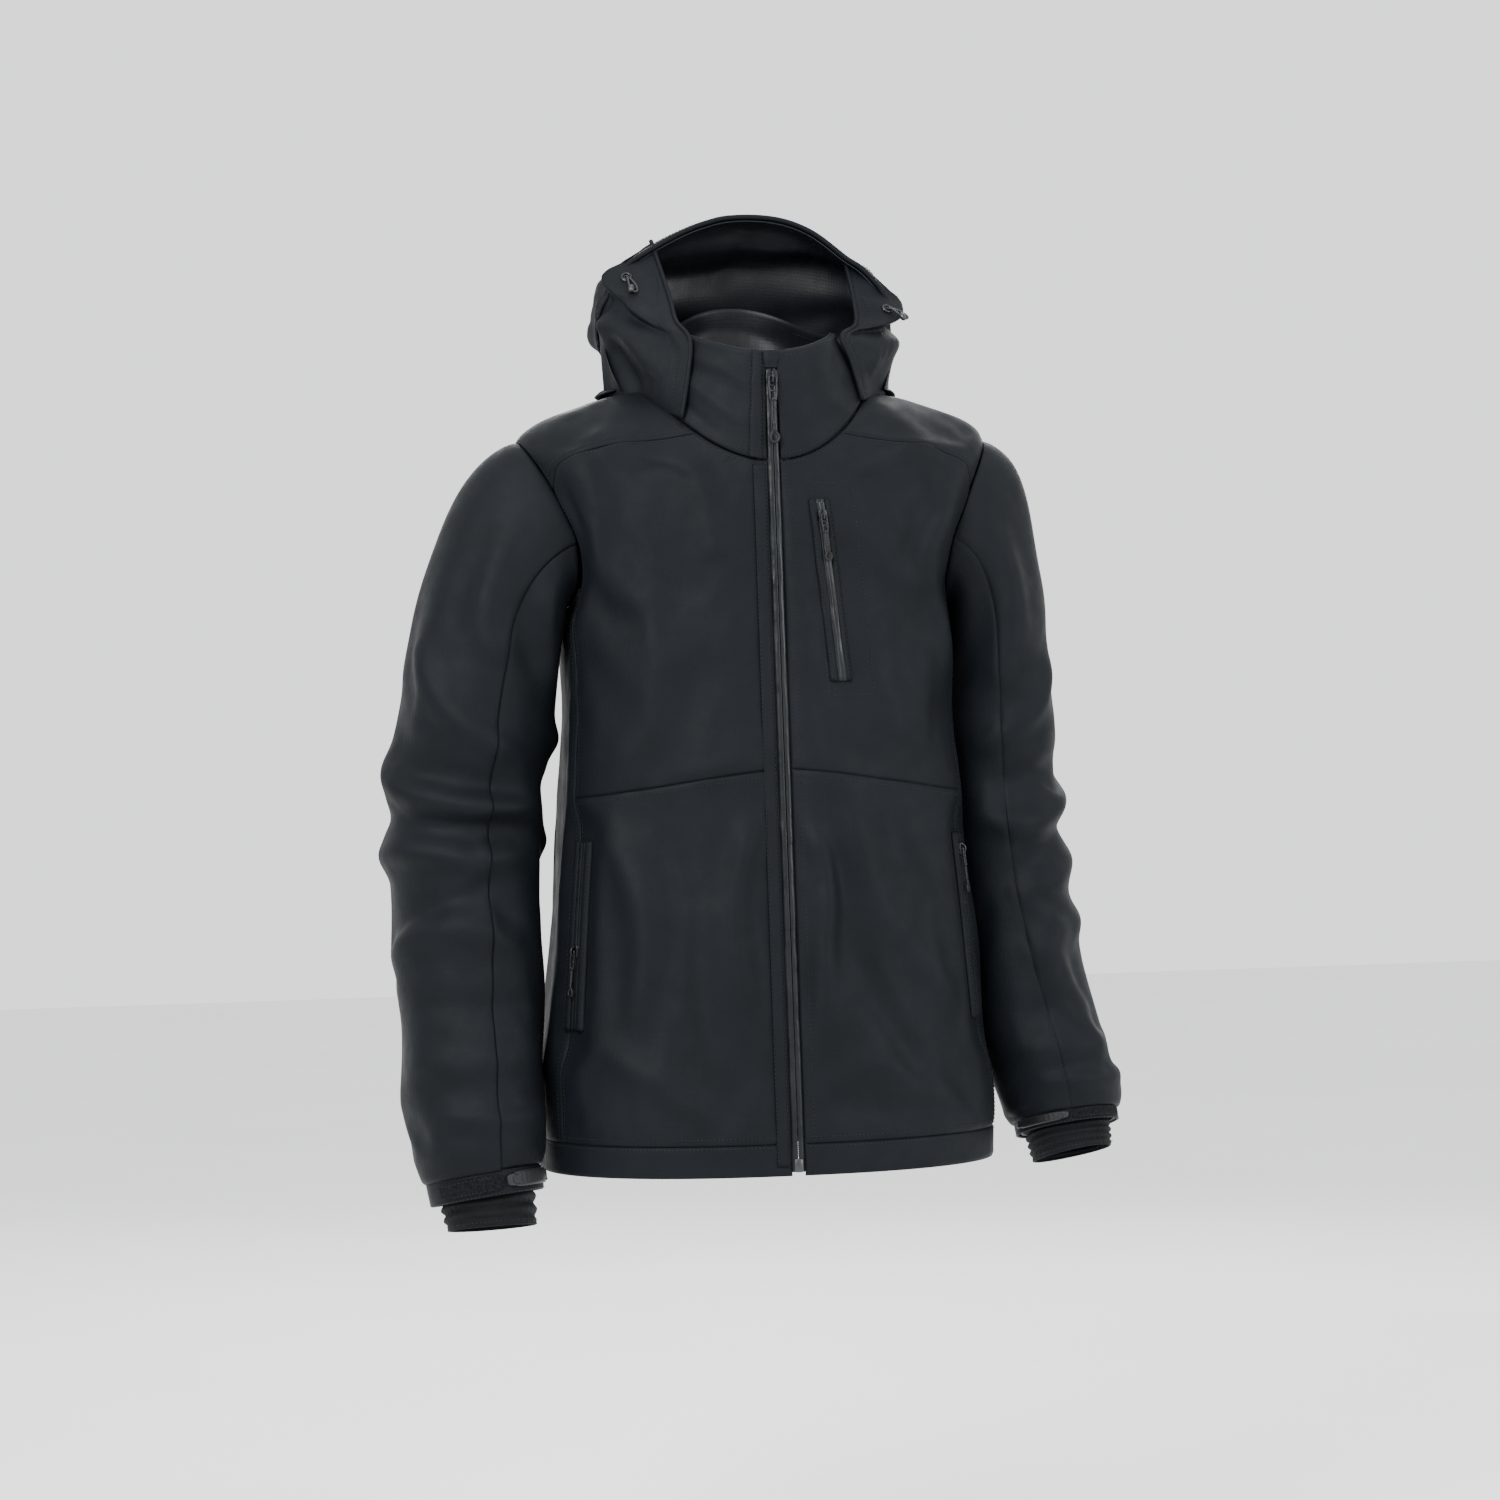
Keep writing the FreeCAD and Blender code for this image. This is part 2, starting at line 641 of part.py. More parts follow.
# ---------------------------------------------------------------- main zip
ZIP_TOP, ZIP_LOW = 18.0, HEM + 2.0
top = Vec(0, zip_y(ZIP_TOP), ZIP_TOP)
low = Vec(0, zip_y(ZIP_LOW), ZIP_LOW)
ZIP_LONG = (top - low).Length
ZIP_DOWN = (low - top).normalize()
OUT = Vec(0, -1, 0)
main = frame_on(top, ZIP_DOWN, OUT)
sheet.set("A%d" % (len(SIZES) + 1), "zip_long")
sheet.set("B%d" % (len(SIZES) + 1), "%.3f" % ZIP_LONG)
sheet.setAlias("B%d" % (len(SIZES) + 1), "zip_long")
SIZES.append(("zip_long", ZIP_LONG))
doc.recompute()


def zip_box_piece(name, x, wide, thick, back, long_expr, z):
    obj = box(name, wide, thick, long_expr, Vec(0, 0, 0))
    obj.Placement = main.multiply(FreeCAD.Placement(Vec(x, back, z), FreeCAD.Rotation()))
    return obj


cw = dim("chain_wide") / 2.0
tw = dim("tape_wide")
for hand, side in ((-1, "right"), (1, "left")):
    x = 0.4 if hand > 0 else -0.4 - tw
    keep(zip_box_piece("zip_tape_%s" % side, x, "{tape_wide}", "{tape_thick}", dim("zip_back"),
                       "{zip_long}", -ZIP_LONG), "zip_tape_%s" % side)
coils = [zip_box_piece("zip_coil_%d" % (hand + 2), 0.1 if hand > 0 else -0.1 - cw,
                       "{chain_wide} / 2", "{chain_thick}", 0.8, "{zip_long} - 14",
                       14 - ZIP_LONG) for hand in (-1, 1)]
coil_group = doc.addObject("Part::Compound", "zip_coils")
coil_group.Links = coils
keep(coil_group, "zip_coils")
keep(zip_box_piece("zip_end_box", -dim("chain_wide") / 2.0, "{chain_wide}", "{chain_thick} + 1.2",
                   -0.4, "11", 1 - ZIP_LONG), "zip_end_box")

REST = 22.0
at_slider = main.multiply(FreeCAD.Placement(Vec(0, 0, -REST), FreeCAD.Rotation()))
zip_slider("main_zip_slider", 1.0, at_slider)
zip_puller("main_zip_puller", 1.0, at_slider, dim("cord_long"))
guard = zip_box_piece("chin_guard", -dim("garage_wide") / 2.0, "{garage_wide}",
                      "{garage_thick}", -0.8 - dim("garage_thick"), "{garage_tall}",
                      -dim("garage_tall") + 1.0)
keep(guard, "chin_guard")


def turn_of(x, v):
    """Turn at a distance from the centre front line."""
    r = smooth(RINGS, v)
    t = math.degrees(math.acos(min(1.0, abs(x) / r[0]) ** (r[4] / 2.0)))
    return t if x > 0 else 180.0 - t


def strip(x0, x1, v0, v1, offs, steps=16):
    """Upright strip of the front at a steady distance from the centre line."""
    fo, fi = lifted(body_at, offs[0], body_mid), lifted(body_at, offs[1], body_mid)
    outer, inner = [], []
    for v in spread(v0, v1, steps):
        row = [turn_of(x, v) for x in spread(x0, x1, 4)]
        outer.append([fo(t, v) for t in row])
        inner.append([fi(t, v) for t in row])
    return sheet_solid(outer, inner)


add_shape("zip_facing", strip(-18.0, -8.0, 0.02, 10.98, (1.6, 0.5)))
add_shape("storm_flap", strip(-16.0, -1.0, 0.3, 10.9, (-5.0, -6.4)))

# ---------------------------------------------------------------- chest pocket
def front_spot(x, z_front):
    """Point and outward normal of the left front at a distance from the centre."""
    lo, hi = 0.0, V_NECK
    for _ in range(40):
        v = (lo + hi) / 2
        r = smooth(RINGS, v)
        t = math.degrees(math.acos((x / r[0]) ** (r[4] / 2.0)))
        if body_at(t, v).z < z_front:
            lo = v
        else:
            hi = v
    return t, v


def seam_line(a, b, f=body_at):
    """Straight zip line between two spots (turn, level) on the body, with its normal."""
    pa, pb = f(*a), f(*b)
    m = ((a[0] + b[0]) / 2.0, (a[1] + b[1]) / 2.0)
    up = lifted(f, 1.0, body_mid)
    n = up(*m) - f(*m)
    bulge = max((f(*m) - (pa + pb) * 0.5).dot(n), 0.0)
    return pa + n * bulge, pb + n * bulge, n


def patch_between(spots, half, offs):
    """Narrow band over the body along a line of (turn, level) spots."""
    fo, fi = lifted(body_at, offs[0], body_mid), lifted(body_at, offs[1], body_mid)
    outer, inner = [], []
    for t, v in spots:
        d = half / max(body_at(t, v).distanceToPoint(body_at(t + 1, v)), 1e-6)
        row = spread(t - d, t + d, 4)
        outer.append([fo(u, v) for u in row])
        inner.append([fi(u, v) for u in row])
    return sheet_solid(outer, inner)


chest_a = front_spot(38.0, -106.0)
chest_b = front_spot(52.0, -258.0)
chest_spots = [front_spot(38.0 + 14.0 * k / 10.0, -106.0 - 152.0 * k / 10.0) for k in range(11)]
add_shape("chest_zip_tape", patch_between(chest_spots, 4.0, (0.9, 0.4)))
pa, pb, pn = seam_line(chest_a, chest_b)
pa, pb = pa + pn * 0.9, pb + pn * 0.9
SMALL = dim("small_zip_scale")
chest_rest = pa + (pb - pa).normalize() * 14.0
at_chest = frame_on(chest_rest, pb - pa, pn)
zip_slider("chest_zip_slider", SMALL, at_chest)
zip_puller("chest_zip_puller", SMALL, at_chest, 16.0)
CHEST_LINE = (pa, pb)
NORMALS = [pn]

# ---------------------------------------------------------------- hand pockets
def level_of(z, turn):
    lo, hi = 0.0, 5.0
    for _ in range(40):
        v = (lo + hi) / 2
        if body_at(turn, v).z < z:
            lo = v
        else:
            hi = v
    return v


HAND_TURN, HAND_TOP, HAND_LOW = 23.0, -388.0, -545.0
tapes = []
HAND_LINES = {}
for hand, side in ((-1, "right"), (1, "left")):
    t = mirrored(HAND_TURN, hand)
    va, vb = level_of(HAND_TOP, t), level_of(HAND_LOW, t)
    tapes.append(patch_between([(t, v) for v in spread(va, vb, 9)], 4.0, (0.9, 0.4)))
    pa, pb, pn = seam_line((t, va), (t, vb))
    pa, pb = pa + pn * 0.9, pb + pn * 0.9
    HAND_LINES[side] = (pa, pb)
    NORMALS.append(pn)
    rest = pa + (pb - pa).normalize() * (14.0 if hand > 0 else 92.0)
    at_hand = frame_on(rest, pb - pa, pn)
    zip_slider("hand_zip_slider_%s" % side, SMALL, at_hand)
    zip_puller("hand_zip_puller_%s" % side, SMALL, at_hand, 16.0)
add_shape("hand_zip_tapes", Part.makeCompound(tapes))
bag_offs = (LINING[1] - 0.8, LINING[1] - 0.8 - dim("bag_thick"))
bags = []
for hand in (-1, 1):
    a, b = mirrored(26.0, hand), mirrored(62.0, hand)
    bags.append(cloth(body_at, body_mid, lambda k: spread(a, b, 9), Levels(0.7, 2.3, 6),
                      *bag_offs))
add_shape("hand_pocket_bags", Part.makeCompound(bags))
layer("chest_pocket_bag", body_at, body_mid, lambda k: spread(58, 80, 7), Levels(3.9, 4.9, 5),
      *bag_offs)

# ---------------------------------------------------------------- skirt, loop, hood locks
skirt_out = LINING[1] - 3.0
layer("powder_skirt", body_at, body_mid, lambda k: all_round(44.0, 41), Levels(0.42, 1.35, 6),
      skirt_out, skirt_out - 1.2)

span, rise, lt, lw = (dim(w) for w in ("loop_span", "loop_rise", "loop_thick", "loop_wide"))
block = box("loop_block", "{loop_span}", "{loop_rise}", "{loop_wide}", Vec(0, 0, 0))
hollow = box("loop_hollow", "{loop_span} - 2 * {loop_thick}", "{loop_rise}", "{loop_wide} + 4",
             Vec(lt, lt, -2))
hanger = cut("hanger_loop", block, hollow)
hanger.Placement = FreeCAD.Placement(Vec(-span / 2, -rise - 6.4, 12.0), FreeCAD.Rotation())
keep(hanger, "hanger_loop")

locks = []
for hand, side in ((-1, "right"), (1, "left")):
    b, turn = 52.0 * hand, 30.0
    up = lifted(hood_at, 1.0, hood_mid)
    p = hood_at(b, turn)
    n = (up(b, turn) - p).normalize()
    base = p + n * 0.4
    lock = rod("hood_lock_%s_body" % side, "{lock_radius}", "{lock_tall}", base, n)
    bore = rod("hood_lock_%s_bore" % side, "{lock_bore}", "{lock_tall} - 3", base + n * 3.2, n)
    locks.append(cut("hood_lock_%s_cup" % side, lock, bore))
    press = rod("hood_lock_button_%s" % side, "{button_radius}", "{button_long}",
                base + n * (dim("lock_tall") + dim("button_out") - dim("button_long")), n)
    keep(press, "hood_lock_button_%s" % side)
lock_group = doc.addObject("Part::Compound", "hood_locks")
lock_group.Links = locks
keep(lock_group, "hood_locks")

# ---------------------------------------------------------------- check and write
doc.recompute()
for obj in doc.Objects:
    if any(word in ("Invalid", "Error") for word in obj.State):
        raise RuntimeError("%s did not compute: %s" % (obj.Name, obj.State))
for obj, name in NODES:
    shape = obj.Shape
    if shape.isNull() or not shape.isValid() or shape.Volume <= 0:
        raise RuntimeError("%s has a bad shape" % name)
    shape.exportStep("parts/%s.step" % name)
    print("%-26s %9.0f mm3  %d solid" % (name, shape.Volume, len(shape.Solids)))
print(len(NODES), "nodes")
for hand, side in ((-1, "right"), (1, "left")):
    edge = lifted(lambda u, v: sleeve_at(u, v, hand), tab_low, sleeve_mid(hand))
    a, b = edge(TAB_SEAM, 7.44), edge(TAB_SEAM, 7.88)
    print("cuff tab seam", side, (a + b) * 0.5, (b - a).normalize())
    up = lifted(hood_at, 1.0, hood_mid)
    n = (up(52.0 * hand, 30.0) - hood_at(52.0 * hand, 30.0)).normalize()
    print("hood lock axis", side, hood_at(52.0 * hand, 30.0), n)
print("zip", top, low, ZIP_LONG, "slider", at_slider.Base)
print("chest", CHEST_LINE, at_chest.Base)
print("hand", HAND_LINES)
print("normals", *NORMALS)
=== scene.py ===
import bpy
import math
import numpy as np
from mathutils import Matrix, Vector, noise


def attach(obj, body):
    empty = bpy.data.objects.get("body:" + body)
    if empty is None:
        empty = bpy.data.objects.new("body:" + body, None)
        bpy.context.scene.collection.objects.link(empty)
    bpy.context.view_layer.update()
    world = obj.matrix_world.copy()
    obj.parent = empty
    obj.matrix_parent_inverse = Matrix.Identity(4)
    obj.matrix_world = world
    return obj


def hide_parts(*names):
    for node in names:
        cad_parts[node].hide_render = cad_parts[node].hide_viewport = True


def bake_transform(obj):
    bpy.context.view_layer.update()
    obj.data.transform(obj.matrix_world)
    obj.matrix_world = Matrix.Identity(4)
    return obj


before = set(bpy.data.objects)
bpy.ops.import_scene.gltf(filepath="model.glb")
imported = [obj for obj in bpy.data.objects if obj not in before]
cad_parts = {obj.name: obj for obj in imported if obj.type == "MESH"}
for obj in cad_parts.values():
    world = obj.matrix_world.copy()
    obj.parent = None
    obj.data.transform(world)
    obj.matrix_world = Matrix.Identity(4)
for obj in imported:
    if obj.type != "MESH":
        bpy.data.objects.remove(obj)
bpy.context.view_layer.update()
MM = 0.001

# ------------------------------------------------------------------ garment sizes (mm)
SHELL_THICK = 2.0
HEM, WAIST, PIT, TIP = -665.0, -350.0, -190.0, -50.0
NECK_DEPTH, NECK_FRONT = 177.0, -73.0
FRONT_SLOPE = 50.0 / 685.0
COLLAR_TOP_FRONT, COLLAR_TOP_BACK = 20.0, 75.0
ZIP_OPEN = 11.0
ARM_MID, ARM_HALF, ARM_TURN, SIDE_TURN = 6.5, 1.5, 33.0, 20.0
V_NECK, BACK_TOP, V_WAIST = 11.0, 7.2, 3.0
HEM_TOP_V = 26.0 / 105.0
HOOD_R, HOOD_W, HOOD_Y, HOOD_Z = 107.0, 131.0, -77.0, 45.0
HOOD_LOW, HOOD_RIM, BRIM = -25.0, 76.0, 9.0
GRID = 6.0


def zip_y(z):
    return -NECK_DEPTH + (z - NECK_FRONT) * FRONT_SLOPE


# rings: half width, middle y, front y, back y, roundness, side z, front z, back z
RINGS = np.array([
    (195, -84, zip_y(HEM), 50, 2.3, HEM, HEM, HEM),
    (187, -82, zip_y(-560), 45, 2.3, -560, -560, -560),
    (178, -80, zip_y(-450), 41, 2.3, -450, -450, -450),
    (169, -78, zip_y(WAIST), 40, 2.3, WAIST, WAIST, WAIST),
    (165, -77, zip_y(-265), 46, 2.3, -265, -265, -265),
    (165, -77, zip_y(-200), 52, 2.35, PIT, -200, -195),
    (182, -76, zip_y(-166), 51, 2.4, -138, -166, -152),
    (199, -75, zip_y(-142), 45, 2.4, -88, -142, -106),
    (203, -74, zip_y(-122), 35, 2.35, TIP, -122, -64),
    (186, -74, zip_y(-107), 26, 2.3, -32, -107, -42),
    (146, -75, zip_y(-92), 13, 2.2, -17, -92, -21),
    (98, -80, zip_y(NECK_FRONT), 0, 2.1, -4, NECK_FRONT, 0),
], float)
COLLAR = np.array([
    (98, -80, zip_y(NECK_FRONT), 0, 2.1, -4, NECK_FRONT, 0),
    (90, -80, zip_y(-42), 4, 2.1, 14, -42, 24),
    (80, -82, zip_y(-10), 6, 2.1, 30, -10, 50),
    (71, -84, zip_y(20), 4, 2.1, 44, COLLAR_TOP_FRONT, COLLAR_TOP_BACK),
], float)
# sleeve stations: middle x, y, z, half width, half depth
SLEEVES = {
    -1: np.array([
        (232, -77, -215, 59, 67), (246, -76, -290, 61, 65), (252, -74, -360, 62, 64),
        (254, -82, -440, 60, 62), (254, -97, -520, 57, 58), (253, -113, -595, 53, 54),
        (251, -124, -650, 49.5, 51), (247, -129, -683, 48, 50)], float),
    1: np.array([
        (208, -66, -215, 40, 72), (213, -57, -290, 46, 68), (217, -50, -360, 47, 66),
        (226, -52, -440, 48, 64), (239, -64, -520, 49, 60), (254, -80, -585, 47.5, 55),
        (262, -91, -628, 45.5, 50), (264, -96, -648, 45, 48.5)], float),
}
CUFF_S = 7.35
SIDES = ((-1, "right"), (1, "left"))


# ------------------------------------------------------------------ smooth surfaces
def smooth(table, at):
    """Rows of the table at many positions, by the same monotone cubic the solids use."""
    at = np.asarray(at, float)
    n = len(table)
    step = table[1:] - table[:-1]
    m = np.zeros_like(table)
    m[0], m[-1] = step[0], step[-1]
    a, b = step[:-1], step[1:]
    both = a * b > 0
    m[1:-1][both] = 2 * a[both] * b[both] / (a[both] + b[both])
    k = np.clip(np.floor(at).astype(int), 0, n - 2)
    f = np.clip(at - k, 0, 1)[:, None]
    h = step[k]
    return table[k] + f * (m[k] + f * (3 * h - 2 * m[k] - m[k + 1]
                                       + f * (m[k] + m[k + 1] - 2 * h)))


def power(c, e):
    return np.sign(c) * np.abs(c) ** e


def ring_points(r, turn):
    t = np.radians(turn)
    c, s = power(np.cos(t), 2 / r[:, 4]), power(np.sin(t), 2 / r[:, 4])
    y = np.where(s >= 0, r[:, 1] + (r[:, 2] - r[:, 1]) * s, r[:, 1] - (r[:, 3] - r[:, 1]) * s)
    z = np.where(s >= 0, r[:, 5] + (r[:, 6] - r[:, 5]) * s * s,
                 r[:, 5] + (r[:, 7] - r[:, 5]) * s * s)
    return np.stack([r[:, 0] * c, y, z], 1)


def body_at(turn, v):
    return ring_points(smooth(RINGS, v), turn)


def collar_at(turn, v):
    return ring_points(smooth(COLLAR, v), turn)


def sleeve_tube(table, turn, k):
    r = np.radians(turn)[:, None]
    p = smooth(table, k)
    last = len(table) - 1
    t = smooth(table, np.minimum(k + 0.05, last))[:, :3] - smooth(
        table, np.maximum(k - 0.05, 0))[:, :3]
    t /= np.linalg.norm(t, axis=1)[:, None]
    out = np.array([1.0, 0, 0]) - t * t[:, :1]
    out /= np.linalg.norm(out, axis=1)[:, None]
    fore = np.cross(out, t)
    fore *= -np.sign(fore[:, 1:2])
    over = np.maximum(k - last, 0)[:, None] * 33.0
    return p[:, :3] + out * p[:, 3:4] * np.cos(r) + fore * p[:, 4:5] * np.sin(r) + t * over, t


def sleeve_at(turn, s, hand):
    """turn 0 = outer face, 90 = front, 180 = inner face.  s 0 = armhole, 8 = cuff edge."""
    table = SLEEVES[hand]
    turn, s = np.asarray(turn, float), np.asarray(s, float)
    r = np.radians(turn)
    p, _ = sleeve_tube(table, turn, np.maximum(s - 1, 0))
    p0 = body_at(ARM_TURN * np.sin(r), ARM_MID + ARM_HALF * np.cos(r)) + np.array([0.8, 0, 0])
    p1, t1 = sleeve_tube(table, turn, np.zeros_like(s))
    gap = np.linalg.norm(p1 - p0, axis=1)[:, None]
    f = np.clip(s, 0, 1)[:, None]
    h = f * f * (3 - 2 * f)
    cap = (p0 * (1 - h) + p1 * h + np.array([1.0, 0, -0.35]) * gap * 0.9 * f * (1 - f) ** 2
           - t1 * gap * f * f * (1 - f))
    p = np.where(s[:, None] < 1, cap, p)
    p[:, 0] *= hand
    return p


def hood_at(b, turn):
    b, a = np.radians(b), np.radians(turn)
    r = HOOD_R * np.cos(b)
    return np.stack([HOOD_W * np.sin(b), HOOD_Y + r * np.cos(a), HOOD_Z + r * np.sin(a)], 1)


def grid_normals(p):
    """Unit normals of a (rows, cols, 3) grid of points."""
    n = np.cross(np.gradient(p, axis=1), np.gradient(p, axis=0))
    return n / np.maximum(np.linalg.norm(n, axis=2, keepdims=True), 1e-9)


def point_out(p, n, centre):
    """Turn a grid's normals away from the middle of the body it wraps."""
    if np.sum(np.sum(n * (p - centre), axis=2)) < 0:
        return -n
    return n


# ------------------------------------------------------------------ panel outlines
def zip_turn(v, width=ZIP_OPEN):
    r = smooth(RINGS, np.atleast_1d(v))
    return np.degrees(np.arccos((width / 2 / r[:, 0]) ** (r[:, 4] / 2)))


def edge_turn(v, forward):
    """Turn of a panel's outer edge: side seam, then armhole, then shoulder seam."""
    x = np.clip(1 - ((v - ARM_MID) / ARM_HALF) ** 2, 0, 1)
    out = np.maximum(SIDE_TURN, ARM_TURN * np.sqrt(x))
    return np.where(v > 7.3, 28 + (forward - 28) * (v - 7.3) / (V_NECK - 7.3), out)


def mirrored(turn, hand):
    return turn if hand > 0 else 180.0 - turn


def side_offset(u):
    t = (u + 180.0) % 360.0 - 180.0
    return np.where(np.abs(t) > 90, np.sign(t) * 180 - t, t)


def pit_level(u):
    return ARM_MID - ARM_HALF * np.sqrt(np.clip(1 - (side_offset(u) / ARM_TURN) ** 2, 0, 1))


def yoke_low(u):
    t = np.abs(side_offset(u))
    arm = ARM_MID + ARM_HALF * np.sqrt(np.clip(1 - (t / ARM_TURN) ** 2, 0, 1))
    return np.where(t < 28.4, arm, BACK_TOP + 0.08 * np.clip(1 - (t - 28.4) / 8, 0, 1))


def waist_level_at(u):
    return V_WAIST + 0.22 - 0.26 * np.abs(np.cos(np.radians(u)))


def fractions(length, step=None, edge=(0.0, 2.2, 5.0)):
    """Steps along a side of a panel, closer together beside its seams."""
    step = step or GRID
    edge = [e / length for e in edge]
    n = max(3, int(round(length * (1 - 2 * edge[-1]) / step)))
    mid = np.linspace(edge[-1], 1 - edge[-1], n + 1)
    return np.concatenate([edge[:-1], mid, [1 - e for e in edge[-2::-1]]])


def front_map(hand, low, high):
    def at(g, f):
        low_v = low if np.isscalar(low) else low(60.0)
        high_v = high if np.isscalar(high) else high(60.0)
        v = low_v + (high_v - low_v) * f
        t = zip_turn(v) * (1 - g) + edge_turn(v, 52.0) * g
        lo = low if np.isscalar(low) else low(t)
        hi = high if np.isscalar(high) else high(t)
        return mirrored(t, hand), lo + (hi - lo) * f
    return at


def side_map(hand):
    def at(g, f):
        t = mirrored(SIDE_TURN * (1 - 2 * g), hand)
        return t, HEM_TOP_V + (pit_level(t) - HEM_TOP_V) * f
    return at


def back_map(g, f):
    v = HEM_TOP_V + (BACK_TOP - HEM_TOP_V) * f
    t = edge_turn(v, 40.0)
    return 180 + t + (180 - 2 * t) * g, v


def yoke_map(g, f):
    t = 28 + 24 * f
    u = 180 - t + (180 + 2 * t) * g
    lo = yoke_low(u)
    return u, lo + (V_NECK - lo) * f


def hem_map(g, f):
    v = HEM_TOP_V * f
    t = zip_turn(v)
    return 180 - t + (180 + 2 * t) * g, v


# ------------------------------------------------------------------ folds listed one by one
def polyline(points, n=14):
    """Even points along a smooth line through a few control points."""
    p = np.array(points, float)
    out = []
    for k in range(len(p) - 1):
        a, b = p[max(k - 1, 0)], p[k]
        c, d = p[k + 1], p[min(k + 2, len(p) - 1)]
        for i in range(n):
            t = i / n
            out.append(0.5 * (2 * b + (c - a) * t + (2 * a - 5 * b + 4 * c - d) * t * t
                              + (3 * b - a - 3 * c + d) * t ** 3))
    out.append(p[-1])
    return np.array(out)


def crease(p, line, high, wide, taper=0.25):
    """Height of a rounded ridge (or valley, if high is below 0) that runs along a line."""
    n = len(line)
    best = np.full(len(p), 1e9)
    along = np.zeros(len(p))
    for i in range(n):
        d = np.sum((p - line[i]) ** 2, axis=1)
        near = d < best
        best[near] = d[near]
        along[near] = i / (n - 1.0)
    end = np.clip(np.minimum(along, 1 - along) / taper, 0, 1)
    end = 0.25 + 0.75 * end * end * (3 - 2 * end)
    return high * np.exp(-best / wide ** 2) * end


def front_spot(x, z):
    """Point of the front at a distance from the middle and a level (turn, v by halving)."""
    lo, hi = 0.0, V_NECK
    for _ in range(26):
        v = (lo + hi) / 2
        r = smooth(RINGS, [v])
        t = math.degrees(math.acos(min(1, abs(x) / r[0, 0]) ** (r[0, 4] / 2)))
        q = body_at(np.array([t]), np.array([v]))[0]
        lo, hi = (v, hi) if q[2] < z else (lo, v)
    return np.array([x, q[1], q[2]])


# front folds as (x, z) points with height and width in mm
FRONT_FOLDS = [
    ([(-72, -60), (-60, -110), (-48, -160)], 3.5, 13),
    ([(-92, -70), (-84, -130), (-80, -190)], -2.5, 13),
    ([(-160, -60), (-143, -115), (-150, -175), (-158, -230)], 4.5, 11),
    ([(-172, -90), (-160, -140), (-166, -190)], -4.0, 8),
    ([(-98, -200), (-110, -280), (-138, -340)], 3.0, 16),
    ([(-66, -230), (-84, -300), (-112, -345)], -2.2, 14),
    ([(-141, -372), (-116, -455), (-130, -545)], 4.5, 15),
    ([(-100, -375), (-92, -450), (-104, -520)], -3.5, 12),
    ([(-24, -368), (-46, -440), (-34, -535)], 5.0, 12),
    ([(-12, -380), (-28, -440), (-18, -520)], -4.0, 8),
    ([(-66, -430), (-72, -520), (-52, -600)], 3.0, 14),
    ([(-150, -560), (-105, -590), (-60, -628)], 3.0, 12),
    ([(14, -378), (33, -415), (27, -490), (20, -560)], 6.5, 9),
    ([(34, -390), (47, -440), (42, -500)], -5.0, 9),
    ([(46, -352), (84, -450), (152, -540)], 5.5, 15),
    ([(80, -352), (112, -430), (160, -500)], -4.0, 13),
    ([(50, -470), (86, -545), (120, -610)], -3.5, 13),
    ([(24, -600), (76, -578), (150, -625)], 4.0, 12),
    ([(160, -95), (130, -150), (140, -205), (156, -262)], 5.5, 12),
    ([(172, -130), (152, -175), (158, -220)], -4.5, 9),
    ([(96, -190), (88, -250), (104, -320)], 3.0, 14),
    ([(24, -250), (40, -300), (90, -338)], -2.6, 10),
    ([(66, -84), (110, -72), (150, -58)], 3.0, 10),
    ([(-64, -78), (-112, -66), (-158, -46)], 3.0, 10),
    ([(-120, -100), (-104, -150), (-108, -200)], 2.0, 14),
    ([(112, -100), (98, -140), (92, -175)], 2.4, 13),
    ([(-14, -300), (-40, -322), (-80, -336)], 2.0, 9),
]
BACK_FOLDS = [
    ([(-120, -70), (-60, -110), (0, -118), (60, -108), (118, -74)], 4.0, 15),
    ([(-150, -150), (-90, -205), (0, -228), (85, -200), (148, -148)], 4.0, 17),
    ([(-140, -240), (-60, -300), (40, -316), (130, -270)], 4.5, 16),
    ([(-120, -300), (-40, -338), (60, -342), (128, -318)], -3.5, 12),
    ([(-150, -350), (-70, -392), (30, -384), (140, -352)], 4.5, 15),
    ([(-90, -410), (-100, -500), (-70, -600)], 4.0, 16),
    ([(60, -400), (84, -490), (66, -600)], 4.5, 16),
    ([(-20, -420), (-8, -520), (-22, -610)], -3.5, 16),
    ([(130, -400), (140, -500), (128, -610)], -3.5, 13),
    ([(-150, -390), (-146, -480), (-152, -600)], 3.5, 13),
]
